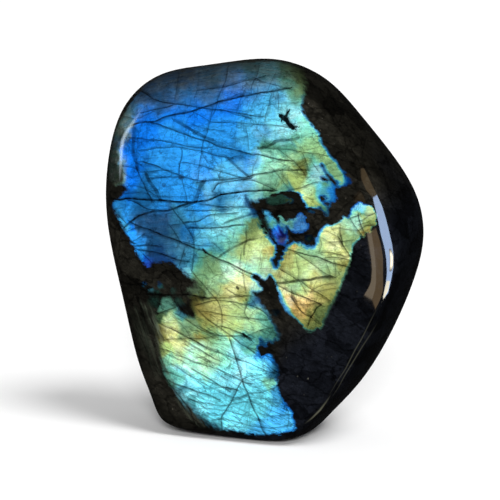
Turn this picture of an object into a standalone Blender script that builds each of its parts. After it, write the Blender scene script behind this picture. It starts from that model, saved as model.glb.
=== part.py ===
"""Polished labradorite freeform that stands upright on a cut flat base.

One solid, in metres, +Z up. The broad polished face looks along -Y. The origin is on the base plane, under
the middle of the stone's bounding box.
"""

import bmesh
import bpy
import numpy as np
from mathutils import Matrix, Vector

MM = 0.001

# Outline of the stone at its widest section, seen from the front, as (across, up) in millimetres.
# It starts at the lower left corner and runs clockwise. The last two points lie just under the base plane,
# so that the flat cut has material to take away.
OUTLINE_MM = (
    (-31.0, 2.2),
    (-35.4, 10.1),
    (-40.3, 22.5),
    (-45.0, 40.9),
    (-49.2, 58.4),
    (-51.3, 73.5),
    (-50.3, 88.8),
    (-45.3, 104.3),
    (-34.5, 113.8),
    (-20.2, 117.0),
    (-4.8, 119.3),
    (7.4, 118.8),
    (19.7, 113.4),
    (30.6, 102.8),
    (40.9, 90.9),
    (48.8, 78.6),
    (51.3, 65.1),
    (48.1, 50.7),
    (41.5, 34.8),
    (32.2, 18.8),
    (22.2, 7.1),
    (13.0, -0.1),
    (-3.5, -1.2),
    (-20.0, -0.6),
)

# Rings of the cage from front to back, as (depth from the middle, inset from the outline) in millimetres.
# The second and third ring hold the soft front edge, the fifth is the widest section of the girdle.
RINGS_MM = (
    (-18.8, 17.0),
    (-18.2, 7.5),
    (-16.2, 3.4),
    (-10.0, 1.1),
    (0.0, -0.6),
    (9.0, 1.2),
    (15.5, 5.5),
    (17.6, 14.0),
)
FACE_CROWN_MM = 0.7
BACK_CROWN_MM = 1.2

# An inset draws the sides and the top in by its full amount, and raises the base by this share of it.
HALF_WIDTH_MM = 51.3
HEIGHT_MM = 119.5
BASE_INSET_SHARE = 0.6

BACK_TAPER = 0.08
SUBDIVISION_LEVELS = 2

CUTTER_MARGIN_MM = 20.0
CUTTER_DEPTH_MM = 10.0

STONE_COLOUR = (0.035, 0.055, 0.075, 1.0)
STONE_ROUGHNESS = 0.08


def clear_scene():
    """Removes the objects of the scene that the script starts in."""
    for obj in list(bpy.data.objects):
        bpy.data.objects.remove(obj, do_unlink=True)


def new_collection(name):
    """Makes a collection in the scene."""
    collection = bpy.data.collections.new(name)
    bpy.context.scene.collection.children.link(collection)
    return collection


def cage_outline():
    """The outline's cage points, placed so that the smoothed edge runs through the outline's own points."""
    count = len(OUTLINE_MM)
    smoothing = (4 * np.eye(count) + np.roll(np.eye(count), 1, 0) + np.roll(np.eye(count), -1, 0)) / 6
    return np.linalg.solve(smoothing, np.array(OUTLINE_MM))


def ring_points(depth, inset):
    """One ring of the cage: the outline drawn in by the inset, at its depth, in metres."""
    across_scale = 1 - inset / HALF_WIDTH_MM
    up_scale = 1 - inset * (1 + BASE_INSET_SHARE) / HEIGHT_MM
    still_height = HEIGHT_MM * BASE_INSET_SHARE / (1 + BASE_INSET_SHARE)
    points = []
    for across, up in cage_outline():
        height = still_height + (up - still_height) * up_scale
        points.append(Vector((across * across_scale, tapered(depth, height), height)) * MM)
    return points


def tapered(depth, height):
    """The depth of a point, with the back half of the stone a little thinner towards the top."""
    return depth * (1 - BACK_TAPER * height / HEIGHT_MM) if depth > 0 else depth


def ring_edges(bm, ring):
    """The edges that join the ring's points in order."""
    return [bm.edges.get(pair) for pair in zip(ring, ring[1:] + ring[:1])]


def extrude_ring(bm, ring, places):
    """Extrudes the cage's open end and puts the new ring at its places."""
    made = bmesh.ops.extrude_edge_only(bm, edges=ring_edges(bm, ring))["geom"]
    fresh = {item for item in made if isinstance(item, bmesh.types.BMVert)}
    following = []
    for vertex, place in zip(ring, places):
        partner = next(e.other_vert(vertex) for e in vertex.link_edges if e.other_vert(vertex) in fresh)
        partner.co = place
        following.append(partner)
    return following


def fill_cap(bm, ring, crown):
    """Closes one end of the cage with an even grid of faces, raised in the middle by the crown."""
    side = len(ring) // 4
    edges = ring_edges(bm, ring)
    before = set(bm.verts)
    bmesh.ops.grid_fill(bm, edges=edges[:side] + edges[2 * side:3 * side])
    centre = sum((vertex.co for vertex in ring), Vector()) / len(ring)
    reach = max((vertex.co - centre).length for vertex in ring)
    for vertex in set(bm.verts) - before:
        vertex.co.y += crown * (1 - ((vertex.co - centre).length / reach) ** 2)


def build_cage():
    """The coarse cage of the stone: a circle shaped to each ring in turn by extrusion, then closed."""
    bm = bmesh.new()
    rings = [ring_points(depth, inset) for depth, inset in RINGS_MM]
    front = bmesh.ops.create_circle(bm, radius=HALF_WIDTH_MM * MM, segments=len(OUTLINE_MM))["verts"]
    for vertex, place in zip(front, rings[0]):
        vertex.co = place
    back = front
    for places in rings[1:]:
        back = extrude_ring(bm, back, places)
    fill_cap(bm, front, -FACE_CROWN_MM * MM)
    fill_cap(bm, back, BACK_CROWN_MM * MM)
    bmesh.ops.recalc_face_normals(bm, faces=bm.faces)
    mesh = bpy.data.meshes.new("labradorite_stone")
    bm.to_mesh(mesh)
    bm.free()
    return mesh


def stone_material():
    """Dark polished feldspar: the body colour between the flashes."""
    material = bpy.data.materials.new("polished_labradorite")
    material.use_nodes = True
    shader = material.node_tree.nodes["Principled BSDF"]
    shader.inputs["Base Color"].default_value = STONE_COLOUR
    shader.inputs["Roughness"].default_value = STONE_ROUGHNESS
    shader.inputs["Metallic"].default_value = 0.0
    return material


def base_cutter(collection):
    """The block under the base plane that gives the stone its flat foot."""
    size = Vector((2 * HALF_WIDTH_MM + 2 * CUTTER_MARGIN_MM, 2 * HALF_WIDTH_MM, CUTTER_DEPTH_MM)) * MM
    bm = bmesh.new()
    bmesh.ops.create_cube(bm, size=1.0, matrix=Matrix.Diagonal((*size, 1.0)))
    mesh = bpy.data.meshes.new("base_cutter")
    bm.to_mesh(mesh)
    bm.free()
    cutter = bpy.data.objects.new("base_cutter", mesh)
    cutter.location.z = -size.z / 2
    cutter.hide_render = True
    cutter.display_type = "WIRE"
    collection.objects.link(cutter)
    return cutter


def centre_over_origin(stone):
    """Moves the cage so that the finished stone's bounding box stands centred on the origin."""
    bpy.context.view_layer.update()
    shape = stone.evaluated_get(bpy.context.evaluated_depsgraph_get())
    corners = [Vector(corner) for corner in shape.bound_box]
    middle = (Vector(map(min, zip(*corners))) + Vector(map(max, zip(*corners)))) / 2
    stone.data.transform(Matrix.Translation((-middle.x, -middle.y, 0.0)))


def build_stone(collection, cutter):
    """The stone: the smoothed cage, cut flat at the base."""
    stone = bpy.data.objects.new("labradorite_stone", build_cage())
    stone.data.materials.append(stone_material())
    stone.data.shade_smooth()
    collection.objects.link(stone)
    smooth = stone.modifiers.new("polished_form", "SUBSURF")
    smooth.levels = SUBDIVISION_LEVELS
    smooth.render_levels = SUBDIVISION_LEVELS
    cut = stone.modifiers.new("flat_base", "BOOLEAN")
    cut.operation = "DIFFERENCE"
    cut.solver = "EXACT"
    cut.object = cutter
    centre_over_origin(stone)
    return stone


def main():
    clear_scene()
    stone_parts = new_collection("labradorite_freeform")
    cutters = new_collection("cutters")
    build_stone(stone_parts, base_cutter(cutters))


main()
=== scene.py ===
"""Looks of the polished labradorite freeform: its smooth form, its play of colour and the photograph's light.

The stone is modelled once as a smoothed cage with a cut flat base. Its markings are drawn from outlines
placed in the photograph's frame of 500 by 500 pixels. The camera carries them onto the stone as
distances kept on the mesh, and the material turns those into colour fields, fractures and inclusions.
"""

import logging
import math
from collections.abc import Iterator
from contextlib import contextmanager
from dataclasses import dataclass, field
from enum import Enum

import bmesh
import bpy
import numpy as np
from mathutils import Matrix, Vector
from mathutils.interpolate import poly_3d_calc


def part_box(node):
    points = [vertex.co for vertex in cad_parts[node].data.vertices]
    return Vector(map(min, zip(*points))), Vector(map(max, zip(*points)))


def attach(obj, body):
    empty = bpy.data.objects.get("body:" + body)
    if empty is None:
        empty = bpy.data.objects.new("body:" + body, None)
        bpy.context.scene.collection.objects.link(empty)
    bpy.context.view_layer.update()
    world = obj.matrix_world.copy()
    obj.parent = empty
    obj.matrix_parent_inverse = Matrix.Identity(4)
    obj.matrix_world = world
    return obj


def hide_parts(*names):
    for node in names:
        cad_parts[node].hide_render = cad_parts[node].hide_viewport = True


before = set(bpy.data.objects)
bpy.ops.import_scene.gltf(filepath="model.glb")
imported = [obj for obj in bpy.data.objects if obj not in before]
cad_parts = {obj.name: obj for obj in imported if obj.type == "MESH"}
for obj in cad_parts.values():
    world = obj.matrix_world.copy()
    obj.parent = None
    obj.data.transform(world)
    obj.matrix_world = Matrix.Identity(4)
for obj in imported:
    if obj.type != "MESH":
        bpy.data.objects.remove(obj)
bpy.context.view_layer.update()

MM = 0.001
STONE_NODE = "labradorite_stone"
STONE_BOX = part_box(STONE_NODE)

Colour = tuple[float, float, float]
Socket = bpy.types.NodeSocket

log = logging.getLogger("labradorite")


def linear(red: float, green: float, blue: float) -> tuple[float, float, float, float]:
    """The linear colour, by the sRGB curve, of a colour that is seen on the screen as 0 to 255."""
    shares = [value / 255 for value in (red, green, blue)]
    return *(share / 12.92 if share <= 0.04045 else ((share + 0.055) / 1.055) ** 2.4 for share in shares), 1.0


class Tint(Enum):
    """The play of colour in its natural order, from the thinnest layers of the feldspar to the thickest."""

    INDIGO = 0.0
    VIOLET_BLUE = 0.10
    ELECTRIC = 0.20
    AZURE = 0.30
    SKY = 0.40
    CYAN = 0.50
    MINT = 0.60
    PALE_GREEN = 0.68
    YELLOW_GREEN = 0.76
    YELLOW = 0.83
    GOLD = 0.91
    ORANGE = 1.0


TINT_COLOURS = {
    Tint.INDIGO: (28, 30, 120),
    Tint.VIOLET_BLUE: (45, 85, 215),
    Tint.ELECTRIC: (14, 128, 252),
    Tint.AZURE: (42, 152, 240),
    Tint.SKY: (78, 186, 242),
    Tint.CYAN: (108, 224, 244),
    Tint.MINT: (128, 232, 200),
    Tint.PALE_GREEN: (168, 226, 158),
    Tint.YELLOW_GREEN: (196, 226, 132),
    Tint.YELLOW: (226, 226, 122),
    Tint.GOLD: (232, 194, 98),
    Tint.ORANGE: (214, 146, 66),
}


@dataclass(frozen=True)
class PhotoCamera:
    """The camera at the photograph's viewing angle."""

    azimuth: float = math.radians(20.0)
    elevation: float = math.radians(10.0)
    distance: float = 0.62
    pixels_per_metre: float = 3140.0
    target: tuple[float, float, float] = (-0.0046, 0.0, 0.0587)
    frame_size: float = 500.0
    sensor_mm: float = 36.0

    def axes(self) -> tuple[np.ndarray, np.ndarray, np.ndarray]:
        """Finds the camera's own directions.

        Returns:
            Unit vectors to its right, upwards, and backwards from the target.
        """
        level = math.cos(self.elevation)
        right = np.array((math.cos(self.azimuth), math.sin(self.azimuth), 0.0))
        back = np.array((right[1] * level, -right[0] * level, math.sin(self.elevation)))
        return right, np.cross(back, right), back

    def place(self) -> np.ndarray:
        """Where the camera stands, in metres."""
        return np.array(self.target) + self.axes()[2] * self.distance

    def focal(self) -> float:
        """How far from the camera, in pixels, the picture has one pixel to a pixel."""
        return self.pixels_per_metre * self.distance

    def project(self, points: np.ndarray) -> np.ndarray:
        """Finds where points of the stone show in the photograph.

        Args:
            points: Places in metres, one row each.

        Returns:
            Pixel coordinates, one row each, with the second one counted downwards.
        """
        right, up, back = self.axes()
        away = points - self.place()
        depth = -(away @ back)
        across, rise = (self.focal() * (away @ way) / depth for way in (right, up))
        return np.stack((self.frame_size / 2 + across, self.frame_size / 2 - rise), axis=-1)

    def sight_line(self, x: float, y: float) -> Vector:
        """Finds the direction from the camera through one of the photograph's pixels.

        Args:
            x: The pixel's place to the right.
            y: Its place downwards.

        Returns:
            The unit direction.
        """
        right, up, back = self.axes()
        middle = self.frame_size / 2
        return Vector(right * (x - middle) + up * (middle - y) - back * self.focal()).normalized()

    def build(self) -> None:
        """Adds the camera and makes it the scene's own."""
        data = bpy.data.cameras.new("photo_camera")
        data.sensor_width = self.sensor_mm
        data.lens = self.focal() / self.frame_size * self.sensor_mm
        camera = bpy.data.objects.new("photo_camera", data)
        camera.location = Vector(self.place())
        camera.rotation_euler = (math.pi / 2 - self.elevation, 0.0, self.azimuth)
        bpy.context.scene.collection.objects.link(camera)
        bpy.context.scene.camera = camera


@dataclass(frozen=True)
class Line:
    """A fracture, cleavage line or streak: its width in pixels, its darkness, and its way across the face."""

    width: float
    darkness: float
    path: np.ndarray


@dataclass(frozen=True)
class Patch:
    """A closed area of the face: how strongly it shines, and its outline."""

    light: float
    outline: np.ndarray


@dataclass(frozen=True)
class Glow:
    """One soft spot of the play of colour: its place and reach in pixels, its tint, light and paleness."""

    x: float
    y: float
    reach: float
    tint: Tint
    light: float
    pale: float = 0.0


@dataclass(frozen=True)
class Speck:
    """A small inclusion: its place and radius in pixels, and its darkness, below zero for a light one."""

    x: float
    y: float
    radius: float
    darkness: float


@dataclass(frozen=True)
class Rim:
    """How the shining field ends near a place: its blue border, its softness and its raggedness."""

    x: float
    y: float
    reach: float
    strength: float
    width: float
    softness: float = 0.8
    ragged: float = 1.0


def in_pairs(places: tuple[float, ...]) -> np.ndarray:
    """Places given as x, y, x, y and so on, one row each."""
    return np.array(places, dtype=float).reshape(-1, 2)


def rounded(points: np.ndarray, closed: bool) -> np.ndarray:
    """Cuts a path's corners.

    Args:
        points: The path's places, one row each.
        closed: Whether the last place joins the first.

    Returns:
        The rounded path's places.
    """
    following = np.roll(points, -1, axis=0) if closed else points[1:]
    leading = points if closed else points[:-1]
    pairs = (0.75 * leading + 0.25 * following, 0.25 * leading + 0.75 * following)
    cut = np.stack(pairs, axis=1).reshape(-1, 2)
    return cut if closed else np.vstack((points[:1], cut, points[-1:]))


def lines(*rows: tuple[float, ...]) -> tuple[Line, ...]:
    """Makes lines, each from its width, its darkness and its places."""
    return tuple(Line(width, darkness, rounded(in_pairs(places), False)) for width, darkness, *places in rows)


def patch(light: float, *places: float) -> Patch:
    """Makes a patch from its light and the places of its outline."""
    return Patch(light, rounded(in_pairs(places), True))


def patches(*rows: tuple[float, ...]) -> tuple[Patch, ...]:
    """Makes several patches."""
    return tuple(patch(*row) for row in rows)


def glows(spots: dict[Tint, tuple[tuple[float, ...], ...]]) -> tuple[Glow, ...]:
    """Makes glows, for each tint from their x, y, reach, light and, where they are pale, paleness."""
    rows = ((tint, row) for tint, group in spots.items() for row in group)
    return tuple(Glow(*row[:3], tint, *row[3:]) for tint, row in rows)


# The whole area that shines, from the top left corner clockwise. It dips into the dark corridor on the right,
# runs round the gap in the middle, and comes back along the base and round the dark bay on the left. Its
# shine is the labradorescent flash as the camera sees it, painted into the stone's colour as a fixed sheen.
SHINING_FIELD = patch(
    1, 146, 84, 160, 76, 178, 70.5, 205, 66, 232, 63, 262, 61.5, 285, 63, 298, 68, 303, 77, 303.5, 88,
    302.5, 100, 301, 104, 303, 112, 307.5, 118, 311, 123.4, 314, 129, 317, 132, 320, 135.5, 322, 144,
    326, 148, 329, 153, 332.5, 157, 336, 160, 338, 165, 342, 170, 345, 172, 347, 175.5, 352, 178, 352, 182,
    348, 186, 343, 187, 339, 186.5, 335.5, 189, 335.5, 194, 337, 200, 335, 203, 331, 202, 328.5, 204,
    330, 208, 329, 212, 327, 216.5, 325, 214, 322, 210, 318, 209.5, 313, 208.5, 308, 207.5, 304.5, 204,
    302, 199, 300, 195, 296, 192, 290, 191, 283, 191.5, 275, 194, 268, 197, 262, 199, 256, 200, 251, 199.5,
    247, 201, 249, 205, 252, 208.5, 255, 211, 258, 214.5, 259, 219, 260, 226, 263, 232, 268, 236, 272, 240,
    275, 245, 276.5, 251, 275.5, 256, 272, 259, 273, 263, 275, 267, 277.5, 266, 279, 261, 281, 257,
    283.5, 252, 286, 247.5, 290, 243.5, 295, 240, 298, 242.5, 302, 242, 306, 245.5, 310, 247.5, 313.5, 247,
    315.5, 243, 315.5, 239, 318, 234, 321, 229, 324, 225, 327, 222.5, 331, 225, 334, 222.5, 341, 221,
    343, 218.5, 341.8, 215.5, 343.5, 214.5, 347, 217, 350, 214, 351.5, 211, 351, 208, 353, 205, 357, 203,
    362, 203, 368, 205, 373, 208, 375.5, 211, 376, 217, 376.5, 225, 371.5, 227, 372, 230.5, 368, 233,
    364, 233.5, 366, 236.5, 363, 237, 359.5, 234.5, 360, 238, 357.5, 241, 354.5, 242, 352.5, 246,
    351.5, 252, 350.5, 260, 347, 270, 343, 279, 340, 287, 335.5, 297, 330.5, 306, 326, 314, 324, 322,
    321, 328, 316.5, 327.5, 312.5, 331, 307.5, 330.5, 302, 325.5, 296.5, 319.5, 292, 317, 288, 313,
    284.5, 308, 281, 302, 278.5, 296, 277.5, 289, 275.5, 284, 272.5, 279, 270.5, 275.5, 268.5, 276,
    266, 280.5, 261, 278.5, 257, 274.5, 252, 274.5, 251.5, 278, 257, 281.5, 260.5, 285.5, 262.5, 290,
    258.5, 291.5, 251, 291.5, 254, 294.5, 259, 298.5, 259.5, 303, 264, 308, 268, 314.5, 273, 323, 277, 330,
    279, 338, 275, 342.5, 268.5, 343, 266, 346.5, 262, 344.5, 257.5, 347, 258.5, 354, 261.5, 357, 266, 355,
    271, 354.5, 273, 360, 276, 364, 278.5, 371, 279, 376, 276.5, 381, 277, 387, 280, 393, 283, 400,
    288, 406, 292.5, 412, 293, 419, 297, 427, 292, 431, 281, 434, 265, 435, 250, 433.5, 236, 431, 222, 428,
    213, 424, 205, 419, 196, 412, 188, 404, 182, 396, 176, 387, 170, 378, 167, 368, 165, 356, 163, 344,
    160, 330, 156, 319, 157, 311, 160, 304, 163.5, 299, 168, 298.5, 172.5, 302, 175.5, 307, 177, 312,
    184, 315, 190, 318, 194, 319, 196, 314, 194, 308, 193, 303, 198, 300, 207, 298, 205, 291, 199, 284,
    192, 278, 186, 274, 181, 269, 175, 265, 168, 261.5, 160, 262, 152, 263, 149.5, 268, 146, 265.5,
    142, 261, 137.5, 255, 134, 247.5, 131, 240, 127.5, 232.5, 123.5, 227, 119.5, 219, 115.5, 211, 113, 204,
    115, 201, 120, 198.5, 124, 193, 126.5, 191, 130, 193.5, 128, 189.5, 124.5, 185.5, 120, 184, 114, 186,
    109.5, 181, 109, 170, 109.5, 156, 112, 142, 116.5, 128, 124, 114, 133.5, 99, 139.5, 92,
)

# Bright shards that lie in the dark gap, the corridor and the bay, each with its light first.
SHARDS = patches(
    (0.75, 262.5, 210, 267, 211, 271, 214.5, 275, 219, 277.5, 225, 275, 231, 271.5, 228, 268.5, 222,
     265.5, 216),
    (0.6, 279, 217, 281.5, 217, 285, 221, 289, 219, 295, 218, 298, 214.5, 301.5, 213, 304.5, 215,
     306.5, 220, 309, 226, 307, 231, 301, 232.5, 295, 233.5, 290, 231, 286, 226.5, 280, 222.5),
    (0.8, 274, 225, 279, 223, 285, 224.5, 288, 230, 288.5, 238, 286, 243, 281.5, 246, 277, 242, 273.5, 235,
     272, 229), (0.22, 266, 199, 272, 196, 282, 195, 290, 197, 294, 201, 288, 204, 276, 205, 268, 204),
    (0.30, 306, 209, 313, 210, 316, 213, 309, 213.5),
    (0.33, 147.5, 288.5, 152, 288, 155, 290.5, 152, 293.5, 149, 292.5),
    (0.27, 157.5, 284, 161, 282, 163.5, 285, 161.5, 289, 158, 288),
    (0.20, 153, 289, 158, 290, 160.5, 293, 156, 293.5),
    (0.24, 141.5, 283.5, 144.5, 282, 146, 285, 143, 287),
    (0.24, 171.5, 288, 174.5, 290, 175.5, 293, 173, 292.5),
    (0.22, 175, 299, 180, 297.5, 183.5, 301, 182, 304, 177, 304),
    (0.42, 188, 290, 196, 287, 204, 289.5, 208, 295, 202, 298, 194, 296.5),
    (0.16, 151, 296, 159, 297, 160, 306, 155, 309, 150, 302),
    (0.14, 302, 236, 311, 234, 314, 240, 308, 244), (0.12, 272, 310, 279, 309, 281, 314, 275, 316),
)

# Dark slits and notches cut into the shining field.
SLITS = patches(
    (0, 320.5, 163.5, 325, 170, 330, 176.5, 335.5, 182, 340, 188, 336.5, 189, 331, 181, 326.5, 174.5,
     322.5, 169), (0, 321, 176, 325, 177, 328.5, 181.5, 325.5, 182.5, 322.5, 180),
    (0, 320.5, 196.5, 323, 196, 325.5, 200.5, 329, 205, 326, 205.5, 322.5, 202),
    (0, 280.5, 247.5, 282.5, 247, 283.3, 251.5, 282, 254.5, 280.5, 251.5),
    (0, 201.5, 247.8, 204, 248.8, 208.5, 254, 206.5, 255.3, 203, 251.8),
    (0, 260, 339, 263, 341.5, 261.5, 342.5),
)
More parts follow.
